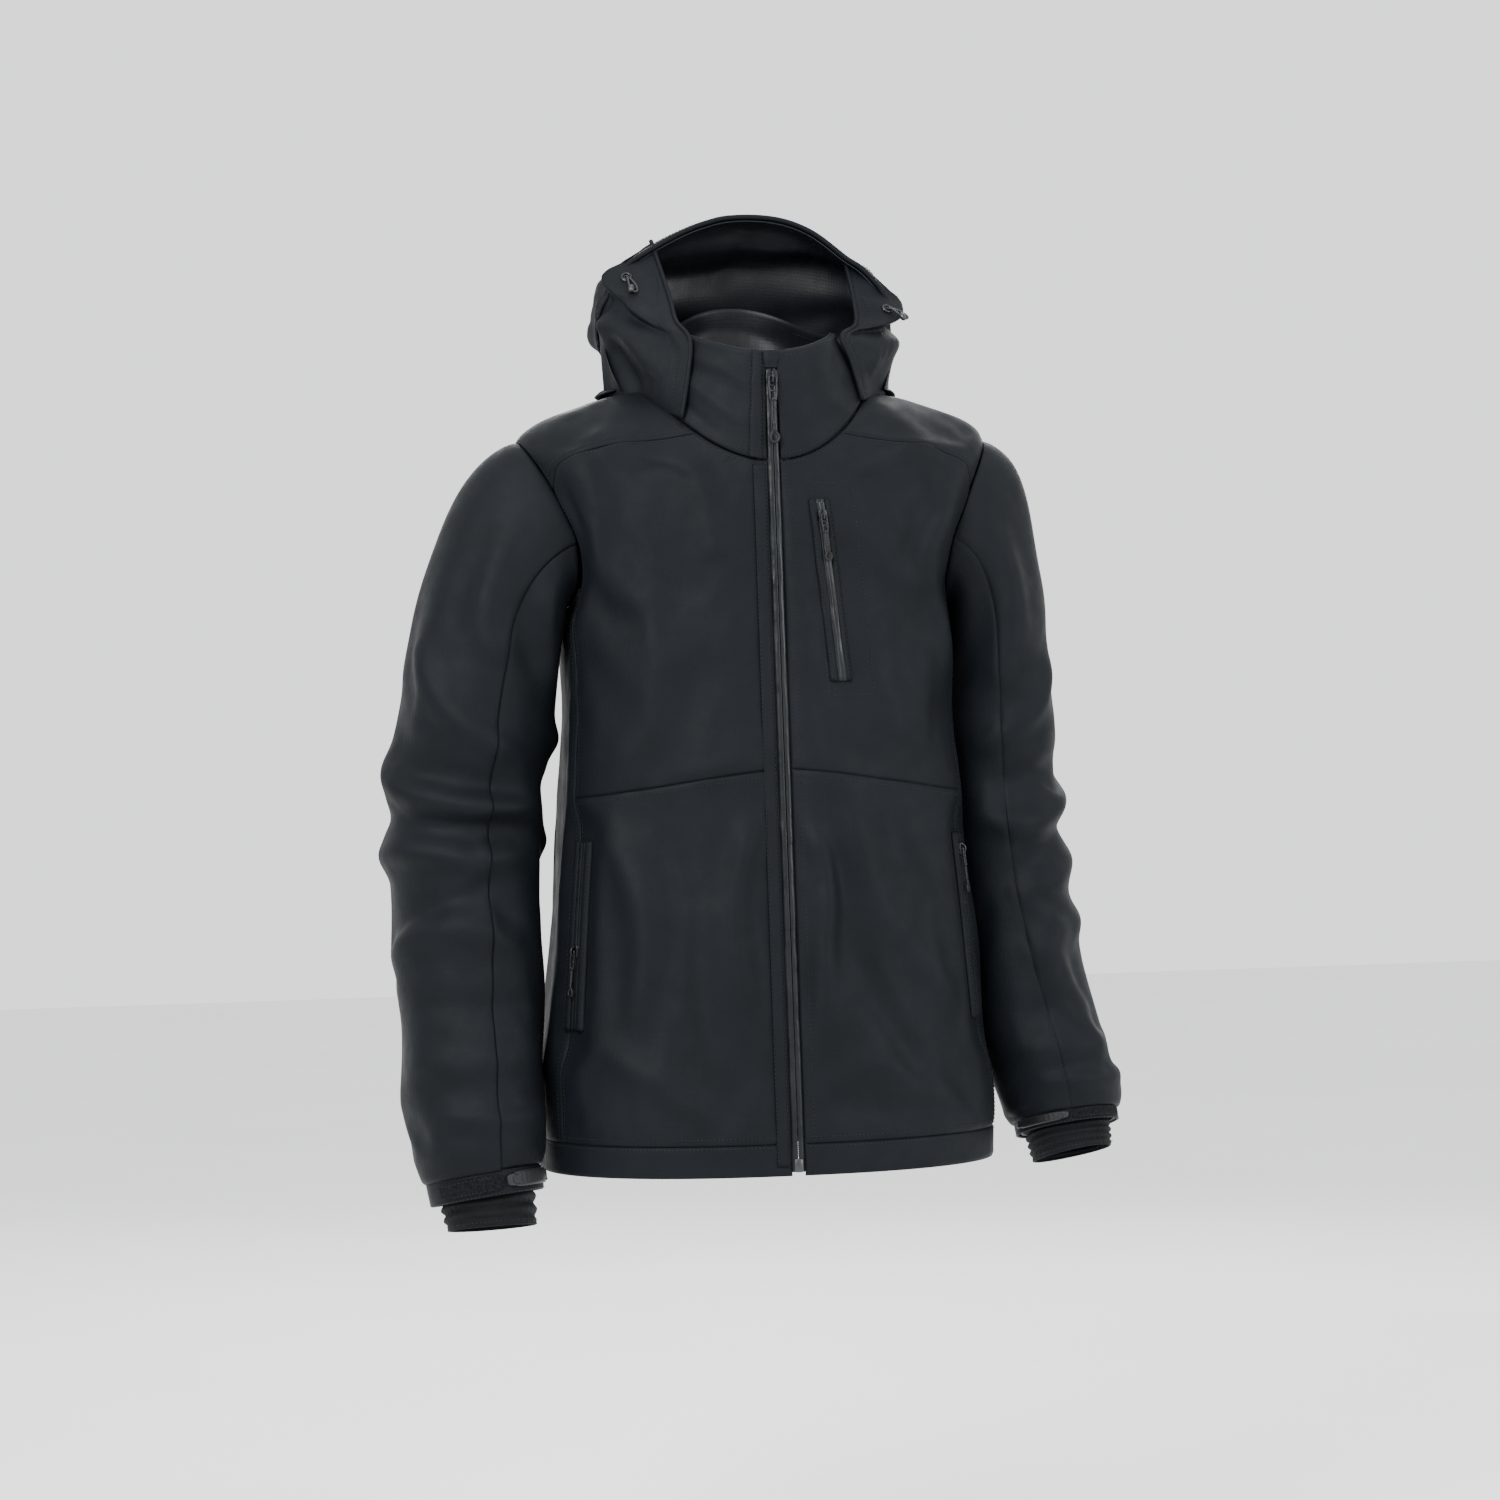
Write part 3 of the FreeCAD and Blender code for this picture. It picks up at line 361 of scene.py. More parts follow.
# sleeve folds as (turn, s) points with height and width in mm
SLEEVE_FOLDS = {
    -1: [
        ([(20, 1.1), (70, 1.9), (120, 2.3)], 7.0, 11), ([(-10, 1.7), (50, 2.45), (115, 2.7)], -7.0, 9),
        ([(-20, 2.3), (35, 2.75), (100, 2.95), (150, 2.9)], 8.0, 10),
        ([(-35, 3.15), (20, 3.05), (70, 3.25), (130, 3.2)], -8.5, 8),
        ([(-30, 3.55), (30, 3.45), (90, 3.6), (140, 3.5)], 6.5, 10),
        ([(10, 3.9), (60, 4.05), (120, 3.85)], -4.5, 10), ([(0, 4.5), (70, 4.35), (130, 4.6)], 5.0, 12),
        ([(30, 5.0), (90, 5.2), (140, 5.05)], -3.5, 11), ([(20, 5.6), (80, 5.8), (150, 5.6)], 3.5, 12),
        ([(60, 0.25), (75, 0.8), (100, 1.3)], 5.0, 10), ([(95, 0.2), (110, 0.8), (130, 1.3)], -5.5, 9),
        ([(110, 0.35), (135, 0.9), (150, 1.5)], 5.0, 9), ([(40, 6.3), (100, 6.5), (160, 6.4)], 3.5, 9),
        ([(150, 1.9), (190, 2.1), (235, 2.0)], 5.0, 10), ([(160, 2.6), (200, 2.75), (250, 2.6)], -5.0, 9),
        ([(170, 3.3), (215, 3.3), (265, 3.2)], 5.5, 10), ([(250, 0.5), (275, 1.3), (300, 2.1)], 5.0, 13),
        ([(240, 2.9), (290, 2.8), (330, 2.6)], 5.0, 12), ([(235, 3.7), (285, 3.9), (330, 3.7)], 4.5, 12),
        ([(250, 4.9), (300, 4.7), (340, 4.9)], 4.0, 13), ([(240, 6.0), (290, 6.1), (340, 6.0)], 3.5, 11),
    ],
    1: [
        ([(30, 1.2), (80, 1.9), (130, 2.3)], 6.0, 10), ([(-10, 2.2), (50, 2.6), (120, 2.7)], -5.5, 10),
        ([(-30, 2.7), (20, 3.0), (80, 3.3), (130, 3.1)], 7.0, 10),
        ([(-30, 3.4), (25, 3.35), (80, 3.7), (120, 3.9)], -7.0, 8),
        ([(-30, 3.75), (30, 3.75), (90, 4.1)], 6.0, 11), ([(0, 4.3), (60, 4.6), (110, 4.9)], 5.0, 12),
        ([(20, 5.1), (80, 5.5), (130, 5.4)], -3.5, 12), ([(10, 5.9), (70, 6.1), (140, 5.9)], 4.0, 10),
        ([(0, 6.5), (60, 6.7), (130, 6.5)], 4.0, 8), ([(70, 0.2), (85, 0.9), (105, 1.6)], 5.0, 10),
        ([(105, 0.2), (120, 0.9), (140, 1.5)], -4.5, 9), ([(150, 1.9), (190, 2.1), (235, 2.0)], 4.0, 10),
        ([(160, 2.9), (200, 3.0), (250, 2.8)], 4.5, 10), ([(170, 3.7), (215, 3.6), (265, 3.5)], -4.5, 10),
        ([(250, 0.5), (275, 1.3), (300, 2.1)], 5.0, 13), ([(240, 2.9), (290, 2.7), (330, 2.6)], 5.0, 12),
        ([(235, 4.1), (285, 4.2), (330, 4.0)], 4.5, 12), ([(250, 5.2), (300, 5.3), (340, 5.2)], 4.0, 12),
    ],
}


def body_folds(p):
    out = np.zeros(len(p))
    front = p[:, 1] < -78
    for pts, high, wide in FRONT_FOLDS:
        out += crease(p, polyline([front_spot(x, z) for x, z in pts]), high, wide)
    for pts, high, wide in BACK_FOLDS:
        line = polyline([(x, 0, z) for x, z in pts])
        flat = p * np.array([1, 0, 1])
        out += np.where(front, 0, crease(flat, line, high, wide))
    return out


def sleeve_folds(p, hand):
    out = np.zeros(len(p))
    for pts, high, wide in SLEEVE_FOLDS[hand]:
        pts = polyline(pts, 6)
        out += crease(p, polyline(sleeve_at(pts[:, 0], pts[:, 1], hand), 3), high, wide)
    return out


def wander(p, scale, high, seed=0.0):
    """Slow uneven swell of the cloth."""
    return np.array([noise.noise(Vector(q) * scale + Vector((seed, 3.1, 7.7))) for q in p]) * high


def crumple(p, high, seed):
    """Short sharp creases: ridges of a warped noise, stronger in some places."""
    out = np.zeros(len(p))
    for i, q in enumerate(p):
        v = Vector((q[0] * 0.018, q[1] * 0.018, q[2] * 0.011 + seed))
        v += 0.35 * noise.noise_vector(v * 1.7)
        a = 1 - abs(noise.noise(v)) * 2.6
        b = 1 - abs(noise.noise(v * 2.1 + Vector((5, 1, 8)))) * 2.6
        where = 0.5 + 0.9 * noise.noise(Vector(q) * 0.006 + Vector((seed, 4, 2)))
        out[i] = (max(a, 0) ** 2 + 0.35 * max(b, 0) ** 2) * min(max(where, 0.1), 1)
    return out * high


def puckers(p):
    """Small upright gathers each side of the seam above the hem band."""
    out = np.array([noise.noise(Vector((x * 0.10, y * 0.10, z * 0.014))) for x, y, z in p])
    above = p[:, 2] - HEM - 26
    return np.abs(out) * np.exp(-(above / 20.0) ** 2) * np.clip(np.abs(above) / 9.0, 0, 1)


# ------------------------------------------------------------------ cloth pieces as grids
class Panel:
    """A grid of points over the body, kept until the cloth has been run."""

    def __init__(self, name, nodes, points, centre, uv, ring=False, kind="body"):
        self.name, self.nodes, self.p, self.uv = name, nodes, points, uv
        self.ring, self.kind = ring, kind
        self.n = point_out(points, self.normals(points), centre)
        self.base = points.copy()

    def normals(self, p):
        if not self.ring:
            return grid_normals(p)
        q = np.concatenate([p[:, -2:-1], p, p[:, 1:2]], axis=1)
        return grid_normals(q)[:, 1:-1]


def body_panel(name, nodes, mapping, wide, tall, kind="body"):
    g, f = np.meshgrid(fractions(wide), fractions(tall))
    u, v = mapping(g.ravel(), f.ravel())
    p = body_at(u, v).reshape(g.shape + (3,))
    uv = np.stack([g * wide, f * tall], 2)
    return Panel(name, nodes, p, np.array([0, -78, np.mean(p[..., 2]) - 20]), uv, kind=kind)


PANELS = []
for hand, side in SIDES:
    PANELS.append(body_panel("front_%s_lower_cloth" % side, ["front_%s_lower" % side],
                             front_map(hand, HEM_TOP_V, waist_level_at), 215, 290))
    PANELS.append(body_panel("front_%s_upper_cloth" % side, ["front_%s_upper" % side],
                             front_map(hand, waist_level_at, V_NECK), 190, 310))
    PANELS.append(body_panel("side_panel_%s_cloth" % side, ["side_panel_%s" % side],
                             side_map(hand), 108, 465))
PANELS.append(body_panel("back_panel_cloth", ["back_panel"], back_map, 350, 560))
PANELS.append(body_panel("shoulder_yoke_cloth", ["shoulder_yoke"], yoke_map, 560, 110))
PANELS.append(body_panel("hem_band_cloth", ["hem_band"], hem_map, 1050, 26, kind="hem"))

for hand, side in SIDES:
    for part, a, b in (("top", -80.0, 100.0), ("under", 100.0, 280.0)):
        g, f = np.meshgrid(fractions(185), fractions(600))
        s = CUFF_S * f
        p = sleeve_at((a + (b - a) * g).ravel(), s.ravel(), hand).reshape(g.shape + (3,))
        uv = np.stack([g * 185, f * 600], 2)
        mid = p.mean(axis=1, keepdims=True) if part == "none" else None
        turn = np.linspace(0, 360, 24, endpoint=False)
        axis = np.array([sleeve_at(turn, np.full(24, k), hand).mean(axis=0) for k in s[:, 0]])
        PANELS.append(Panel("sleeve_%s_%s_cloth" % (side, part), ["sleeve_%s_%s" % (side, part)],
                            p, axis[:, None, :], uv, kind="sleeve%d" % hand))
    g, f = np.meshgrid(np.linspace(0, 1, 61), fractions(32, edge=(0.0, 1.5, 4.0)))
    p = sleeve_at((360 * g).ravel(), (CUFF_S + (8 - CUFF_S) * f).ravel(), hand)
    p = p.reshape(g.shape + (3,))
    PANELS.append(Panel("cuff_%s_cloth" % side, ["cuff_%s" % side], p,
                        p.mean(axis=(0, 1)), np.stack([g * 310, f * 32], 2), ring=True,
                        kind="cuff"))

# folds fade out at the armhole so that body and sleeve still meet there
LOOPS = {hand: sleeve_at(np.linspace(0, 360, 48), np.zeros(48), hand) for hand, _ in SIDES}


def near_loop(p, reach=26.0):
    d = np.full(len(p), 1e9)
    for loop in LOOPS.values():
        for q in loop:
            d = np.minimum(d, np.sum((p - q) ** 2, axis=1))
    x = np.clip(np.sqrt(d) / reach, 0, 1)
    return x * x * (3 - 2 * x)


PUFF = 4.6
# pocket zips lie flat, so the cloth is held down beside them
FLAT_LINES = [((38.1, -179.6, -98.0), (52.1, -188.2, -262.0))] + [
    ((161.25 * h, -132.9, -384.0), (174.0 * h, -139.6, -549.0)) for h in (-1, 1)]


def near_line(p, reach, inner):
    """0 beside the pocket zips and 1 well away from them."""
    out = np.ones(len(p))
    for a, b in FLAT_LINES:
        a, b = np.array(a), np.array(b)
        t = np.clip((p - a) @ (b - a) / np.dot(b - a, b - a), 0, 1)[:, None]
        x = np.clip((np.linalg.norm(p - a - t * (b - a), axis=1) - inner) / reach, 0, 1)
        out = np.minimum(out, x * x * (3 - 2 * x))
    return out


for panel in PANELS:
    flat = panel.base.reshape(-1, 3)
    if panel.kind == "cuff":
        continue
    if panel.kind in ("body", "hem"):
        h = 1.75 * body_folds(flat) + wander(flat, 0.011, 5.0) + crumple(flat, 2.2, 0.0)
        h += 6.0 * puckers(flat)
        z = flat[:, 2]
        start = np.where(flat[:, 0] < 0, 17.0, 6.0)
        edges = np.clip((np.abs(flat[:, 0]) - start) / 15.0 + (flat[:, 1] > -78), 0, 1)
        drop = np.linalg.norm(flat - body_at(np.degrees(np.arctan2(-flat[:, 1] - 78, flat[:, 0])),
                                             np.full(len(flat), V_NECK)), axis=1)
        edges *= np.clip(drop / 34.0, 0.1, 1)
    else:
        hand = int(panel.kind[6:])
        h = 1.55 * sleeve_folds(flat, hand) + wander(flat, 0.012, 5.0, 11.0)
        h += crumple(flat, 2.4, 17.0)
        s = np.repeat(CUFF_S * np.linspace(0, 1, panel.p.shape[0]), panel.p.shape[1])
    fade = near_loop(flat)
    if panel.kind in ("body", "hem"):
        fade *= edges * np.clip((flat[:, 2] - HEM) / 60.0, 0.1, 1)
    else:
        fade *= np.clip((CUFF_S - s) / 0.5, 0, 1)
        cap = np.clip(np.sin(np.pi * np.clip(s / 1.5, 0, 1)), 0, 1)
        top = np.clip((flat[:, 2] + 190) / 60.0, 0, 1)
        h = h * (1 - 0.6 * cap * top) - 6.0 * cap * top
    h = PUFF * fade + np.where(h < 0, 5 * np.tanh(h / 5), h) * fade
    if panel.kind == "body":
        held = near_line(flat, 24.0, 8.0)
        h = h * held - 0.4 * (1 - held)
    panel.p = panel.base + panel.n * np.maximum(h, -0.8).reshape(panel.p.shape[:2] + (1,))


# ------------------------------------------------------------------ cloth run
def grid_faces(rows, cols, start=0):
    a = (np.arange(rows - 1)[:, None] * cols + np.arange(cols - 1)[None, :]).ravel() + start
    return np.stack([a, a + 1, a + cols + 1, a + cols], 1)


def run_cloth(panels, frames=26):
    """Let the cloth be a little longer than the form it hangs on, so that it buckles."""
    verts, faces, pins, rest = [], [], [], []
    start = 0
    for panel in panels:
        rows, cols = panel.p.shape[:2]
        q = panel.p.reshape(-1, 3)
        verts.append(q)
        faces.append(grid_faces(rows, cols, start))
        w = np.full((rows, cols), 0.012)
        w[:1] = w[-1:] = 1
        w[:, :1] = w[:, -1:] = 1
        w[1:2] = np.maximum(w[1:2], 0.5)
        w[-2:-1] = np.maximum(w[-2:-1], 0.5)
        w[:, 1] = np.maximum(w[:, 1], 0.5)
        w[:, -2] = np.maximum(w[:, -2], 0.5)
        if panel.kind == "body":
            w = np.maximum(w, 1 - near_line(panel.base.reshape(-1, 3), 8.0, 10.0).reshape(w.shape))
        pins.append(np.round(w, 2).ravel())
        grow = {"body": (1.022, 1.02), "hem": (1.05, 1.0)}.get(panel.kind, (1.012, 1.05))
        rest.append(q * np.array([grow[0], grow[0], grow[1]]))
        start += rows * cols
    verts, faces = np.concatenate(verts) * MM, np.concatenate(faces)
    mesh = bpy.data.meshes.new("cloth_run")
    mesh.from_pydata(verts.tolist(), [], faces.tolist())
    obj = bpy.data.objects.new("cloth_run", mesh)
    bpy.context.scene.collection.objects.link(obj)
    group = obj.vertex_groups.new(name="pin")
    weights = np.concatenate(pins)
    for w in np.unique(weights):
        group.add(np.nonzero(weights == w)[0].tolist(), float(w), "REPLACE")
    obj.shape_key_add(name="Basis")
    key = obj.shape_key_add(name="rest")
    key.data.foreach_set("co", (np.concatenate(rest) * MM).ravel())
    mod = obj.modifiers.new("cloth", "CLOTH")
    c = mod.settings
    c.quality = 5
    c.mass = 0.25
    c.tension_stiffness = c.compression_stiffness = 12
    c.shear_stiffness = 4
    c.bending_stiffness = 2.5
    c.tension_damping = c.compression_damping = c.shear_damping = 4
    c.bending_damping = 0.5
    c.air_damping = 2.0
    c.vertex_group_mass = "pin"
    c.pin_stiffness = 1.0
    c.rest_shape_key = key
    c.effector_weights.gravity = 0.15
    mod.collision_settings.use_collision = False
    mod.point_cache.frame_start = 1
    mod.point_cache.frame_end = frames
    scene = bpy.context.scene
    for k in range(1, frames + 1):
        scene.frame_set(k)
    got = obj.evaluated_get(bpy.context.evaluated_depsgraph_get()).data
    out = np.zeros(len(verts) * 3)
    got.vertices.foreach_get("co", out)
    out = out.reshape(-1, 3) / MM
    scene.frame_set(1)
    bpy.data.objects.remove(obj)
    start = 0
    for panel in panels:
        n = panel.p.shape[0] * panel.p.shape[1]
        q = out[start:start + n].reshape(panel.p.shape)
        move = q - panel.p
        up = np.sum(move * panel.n, axis=2, keepdims=True)
        slide = move - up * panel.n
        up = np.where(up > 0, 9 * np.tanh(up / 9), 6 * np.tanh(up / 6))
        size = np.linalg.norm(slide, axis=2, keepdims=True)
        slide *= np.minimum(1, 4 / np.maximum(size, 1e-6))
        q = panel.p + up * panel.n + slide
        off = np.sum((q - panel.base) * panel.n, axis=2, keepdims=True)
        panel.p = q + np.maximum(0, -0.8 - off) * panel.n
        start += n


run_cloth([p for p in PANELS if p.kind != "cuff"])


def relax(p, rounds):
    """Even out a grid's inner points."""
    for _ in range(rounds):
        q = p.copy()
        q[1:-1, 1:-1] = (p[1:-1, 1:-1] * 2 + p[:-2, 1:-1] + p[2:, 1:-1]
                         + p[1:-1, :-2] + p[1:-1, 2:]) / 6
        p = q
    return p


for panel in PANELS:
    panel.p = relax(panel.p, 1)
    panel.now = point_out(panel.p, panel.normals(panel.p), panel.p - panel.n)
    sink = np.zeros(panel.p.shape[:2])
    sink[:1] = sink[-1:] = 1.3
    if not panel.ring:
        sink[:, :1] = sink[:, -1:] = 1.3
    # edges sink straight in, so that the two sides of a seam stay together
    panel.p = panel.p - panel.n * sink[..., None]


# ------------------------------------------------------------------ mesh helpers
def add_mesh(name, verts, faces, uv=None, flat=False):
    mesh = bpy.data.meshes.new(name)
    mesh.from_pydata([tuple(q) for q in np.asarray(verts, float) * MM], [],
                     [tuple(int(i) for i in f) for f in faces])
    if uv is not None:
        layer = mesh.uv_layers.new(name="cloth")
        index = np.zeros(len(mesh.loops), int)
        mesh.loops.foreach_get("vertex_index", index)
        layer.data.foreach_set("uv", (np.asarray(uv, float)[index] * MM).ravel())
    mesh.polygons.foreach_set("use_smooth", [not flat] * len(mesh.polygons))
    obj = bpy.data.objects.new(name, mesh)
    bpy.context.scene.collection.objects.link(obj)
    return obj


def grid_mesh(name, p, uv=None, ring=False):
    rows, cols = p.shape[:2]
    faces = grid_faces(rows, cols)
    verts = p.reshape(-1, 3)
    if ring:
        faces = faces.copy()
        last = faces[:, 1] % cols == cols - 1
        faces[last, 1] -= cols - 1
        faces[last, 2] -= cols - 1
        keep = np.arange(len(verts)) % cols != cols - 1
        new = np.cumsum(keep) - 1
        verts, faces = verts[keep], new[faces]
        uv = None if uv is None else uv.reshape(-1, 2)[keep]
    elif uv is not None:
        uv = uv.reshape(-1, 2)
    return add_mesh(name, verts, faces, uv)


def thicken(obj, thick, sub=1, outward=True):
    """Give a sheet its thickness inwards and round it off."""
    if sub:
        m = obj.modifiers.new("round", "SUBSURF")
        m.levels = m.render_levels = sub
        m.boundary_smooth = "PRESERVE_CORNERS"
    m = obj.modifiers.new("thick", "SOLIDIFY")
    m.thickness = thick * MM
    m.offset = -1 if outward else 1
    m.use_even_offset = False
    return obj


def face_out(obj, centre_of):
    """Flip a mesh whose faces look inwards."""
    mesh = obj.data
    total = 0.0
    for poly in mesh.polygons:
        total += poly.normal.dot(poly.center - Vector(centre_of(poly.center)) * 1.0)
    if total < 0:
        mesh.flip_normals()
    return obj


def tube(path, radius, sides=8, closed=False):
    """Vertices and faces of a round tube along a path; radius may vary along it."""
    p = np.asarray(path, float)
    n = len(p)
    r = np.broadcast_to(np.asarray(radius, float), (n,))
    t = np.roll(p, -1, 0) - np.roll(p, 1, 0) if closed else np.gradient(p, axis=0)
    t /= np.linalg.norm(t, axis=1)[:, None]
    side = np.cross(t[0], [0.3, 0.2, 0.9])
    rows = []
    for i in range(n):
        side = side - t[i] * np.dot(side, t[i])
        side /= np.linalg.norm(side)
        a = np.linspace(0, 2 * np.pi, sides, endpoint=False)
        rows.append(p[i] + r[i] * (np.cos(a)[:, None] * side
                                   + np.sin(a)[:, None] * np.cross(t[i], side)))
    faces = []
    for i in range(n if closed else n - 1):
        j = (i + 1) % n
        for k in range(sides):
            m = (k + 1) % sides
            faces.append((i * sides + k, i * sides + m, j * sides + m, j * sides + k))
    if not closed:
        faces.append(tuple(range(sides))[::-1])
        faces.append(tuple((n - 1) * sides + k for k in range(sides)))
    return np.concatenate(rows), faces


def merged(parts):
    """Several (vertices, faces) pairs as one."""
    verts, faces, start = [], [], 0
    for v, f in parts:
        verts.append(np.asarray(v, float))
        faces += [tuple(i + start for i in face) for face in f]
        start += len(v)
    return np.concatenate(verts), faces


# ------------------------------------------------------------------ finishes
def finish_of(name, dark, light, rough, grain, bump, swell=14.0, weave=0.0, **more):
    """Procedural finish: colour that wanders, grain or weave, and an uneven sheen."""
    mat = bpy.data.materials.new(name)
    mat.use_nodes = True
    nodes, link = mat.node_tree.nodes, mat.node_tree.links.new
    p = nodes["Principled BSDF"]
    at = nodes.new("ShaderNodeTexCoord")

    def field(scale, detail):
        tex = nodes.new("ShaderNodeTexNoise")
        tex.inputs["Scale"].default_value = scale
        tex.inputs["Detail"].default_value = detail
        link(at.outputs["Object"], tex.inputs["Vector"])
        return tex.outputs["Fac"]

    ramp = nodes.new("ShaderNodeValToRGB")
    ramp.color_ramp.elements[0].position = 0.32
    ramp.color_ramp.elements[1].position = 0.68
    ramp.color_ramp.elements[0].color = (*dark, 1)
    ramp.color_ramp.elements[1].color = (*light, 1)
    link(field(swell, 5.0), ramp.inputs["Fac"])
    link(ramp.outputs["Color"], p.inputs["Base Color"])
    span = nodes.new("ShaderNodeMapRange")
    span.inputs["From Min"].default_value = 0.3
    span.inputs["From Max"].default_value = 0.7
    span.inputs["To Min"].default_value = rough[0]
    span.inputs["To Max"].default_value = rough[1]
    link(field(swell * 3.1, 4.0), span.inputs["Value"])
    link(span.outputs["Result"], p.inputs["Roughness"])
    coarse = nodes.new("ShaderNodeBump")
    coarse.inputs["Distance"].default_value = bump * MM
    link(field(grain, 3.0), coarse.inputs["Height"])
    last = coarse
    if weave:
        for axis in ("X", "Z"):
            wave = nodes.new("ShaderNodeTexWave")
            wave.bands_direction = axis
            wave.inputs["Scale"].default_value = weave
            wave.inputs["Distortion"].default_value = 0.6
            link(at.outputs["Object"], wave.inputs["Vector"])
            fine = nodes.new("ShaderNodeBump")
            fine.inputs["Distance"].default_value = bump * 0.4 * MM
            link(wave.outputs["Fac"], fine.inputs["Height"])
            link(last.outputs["Normal"], fine.inputs["Normal"])
            last = fine
    link(last.outputs["Normal"], p.inputs["Normal"])
    for word, value in more.items():
        p.inputs[word.replace("_", " ").title().replace("Ior", "IOR")].default_value = value
    return mat


SHELL = finish_of("shell_fabric", (0.0031, 0.0039, 0.0052), (0.0041, 0.0052, 0.0069),
                  (0.50, 0.62), 900.0, 0.14, swell=20.0, weave=330.0,
                  specular_ior_level=0.075, sheen_weight=0.003, sheen_roughness=0.4)
LINING = finish_of("lining_fabric", (0.0035, 0.0042, 0.0055), (0.0060, 0.0072, 0.0090),
                   (0.38, 0.52), 700.0, 0.10, weave=260.0, specular_ior_level=0.18)
FILL = finish_of("insulation", (0.006, 0.007, 0.009), (0.014, 0.016, 0.019), (0.85, 0.98), 240.0, 0.8)
KNIT = finish_of("stretch_knit", (0.0025, 0.0028, 0.0034), (0.0045, 0.0050, 0.0060),
                 (0.72, 0.90), 420.0, 0.25, weave=170.0, sheen_weight=0.01,
                 specular_ior_level=0.10)
RUBBER = finish_of("moulded_rubber", (0.0055, 0.0062, 0.0074), (0.0085, 0.0096, 0.0115),
                   (0.38, 0.52), 1500.0, 0.05, specular_ior_level=0.25)
RUBBER_DARK = finish_of("moulded_rubber_face", (0.0025, 0.0028, 0.0032), (0.0045, 0.0050, 0.0056),
                        (0.42, 0.60), 1900.0, 0.12, specular_ior_level=0.22)
PILE = finish_of("loop_pile", (0.0010, 0.0012, 0.0015), (0.0060, 0.0070, 0.0085), (0.80, 0.98),
                 1100.0, 0.9, swell=420.0, sheen_weight=0.01, specular_ior_level=0.08)
TAPE = finish_of("laminated_tape", (0.0035, 0.0042, 0.0052), (0.0065, 0.0078, 0.0095),
                 (0.20, 0.46), 120.0, 0.25, swell=26.0, specular_ior_level=0.17)
COIL = finish_of("zip_plastic", (0.005, 0.006, 0.007), (0.009, 0.010, 0.012), (0.28, 0.42),
                 800.0, 0.04)
METAL = finish_of("zip_metal", (0.016, 0.017, 0.020), (0.034, 0.037, 0.042), (0.24, 0.40),
                  600.0, 0.04, metallic=0.9)
BRAID = finish_of("pull_cord", (0.004, 0.0045, 0.005), (0.009, 0.010, 0.012), (0.40, 0.60),
                  1400.0, 0.25, specular_ior_level=0.35)
PLASTIC = finish_of("lock_plastic", (0.004, 0.0045, 0.005), (0.007, 0.008, 0.009), (0.30, 0.45),
                    900.0, 0.05)
WEBBING = finish_of("webbing", (0.005, 0.006, 0.007), (0.009, 0.010, 0.012), (0.60, 0.80),
                    700.0, 0.30, weave=240.0, specular_ior_level=0.15)
THREAD = finish_of("thread", (0.0060, 0.0072, 0.0090), (0.011, 0.013, 0.016), (0.40, 0.60),
                   2500.0, 0.05, specular_ior_level=0.25)
FLOOR = finish_of("pale_floor", (0.80, 0.80, 0.80), (0.84, 0.84, 0.84), (0.55, 0.70), 40.0, 0.2,
                  swell=1.2)
SLOT = {"shell_fabric": SHELL, "lining_fabric": LINING, "insulation": FILL,
        "stretch_knit": KNIT, "moulded_rubber": RUBBER, "loop_pile": PILE,
        "laminated_tape": TAPE, "zip_plastic": COIL, "zip_metal": METAL, "pull_cord": BRAID,
        "lock_plastic": PLASTIC, "webbing": WEBBING}


def piece(obj, body, slot, *nodes, mat=None):
    """Finish, body, material slot and the solids that a shown piece stands for."""
    obj.data.materials.clear()
    obj.data.materials.append(mat or SLOT[slot])
    if isinstance(body, tuple):
        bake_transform(obj)
    else:
        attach(obj, body)
    if nodes:
        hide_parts(*nodes)
    return obj


# ------------------------------------------------------------------ shell panels
STITCHES = {"jacket": [], "hood": [], "hood_fronts": []}


def stitch_row(p, n, on="jacket", pitch=3.4, long=2.3, wide=0.32, lift=0.25):
    """Small raised thread stitches along a line of points with normals."""
    p, n = np.asarray(p, float), np.asarray(n, float)
    d = np.concatenate([[0], np.cumsum(np.linalg.norm(np.diff(p, axis=0), axis=1))])
    at = np.arange(pitch, d[-1] - pitch, pitch)
    if len(at) == 0:
        return
    q = np.stack([np.interp(at, d, p[:, k]) for k in range(3)], 1)
    m = np.stack([np.interp(at, d, n[:, k]) for k in range(3)], 1)
    m /= np.linalg.norm(m, axis=1)[:, None]
    e = np.stack([np.interp(at + 0.5, d, p[:, k]) for k in range(3)], 1) - q
    e /= np.maximum(np.linalg.norm(e, axis=1)[:, None], 1e-9)
    s = np.cross(e, m)
    c = q + m * lift
    six = np.stack([c - e * long / 2 - m * 0.3, c - s * wide, c + m * wide, c + s * wide,
                    c - m * wide, c + e * long / 2 - m * 0.3], 1)
    f = [(0, 2, 1), (0, 3, 2), (0, 4, 3), (0, 1, 4), (5, 1, 2), (5, 2, 3), (5, 3, 4), (5, 4, 1)]
    STITCHES[on].append((six.reshape(-1, 3), [tuple(k * 6 + i for i in face)
                                              for k in range(len(at)) for face in f]))


def make_panel(panel):
    obj = grid_mesh(panel.name, panel.p, panel.uv, panel.ring)
    k = panel.p.shape[0] // 2 * (panel.p.shape[1] - (1 if panel.ring else 0))
    if obj.data.polygons[min(k, len(obj.data.polygons) - 1)].normal.dot(
            Vector(panel.now[panel.p.shape[0] // 2, 1])) < 0:
        obj.data.flip_normals()
    thicken(obj, SHELL_THICK, 1)
    piece(obj, "jacket", "shell_fabric", *panel.nodes)
    return obj


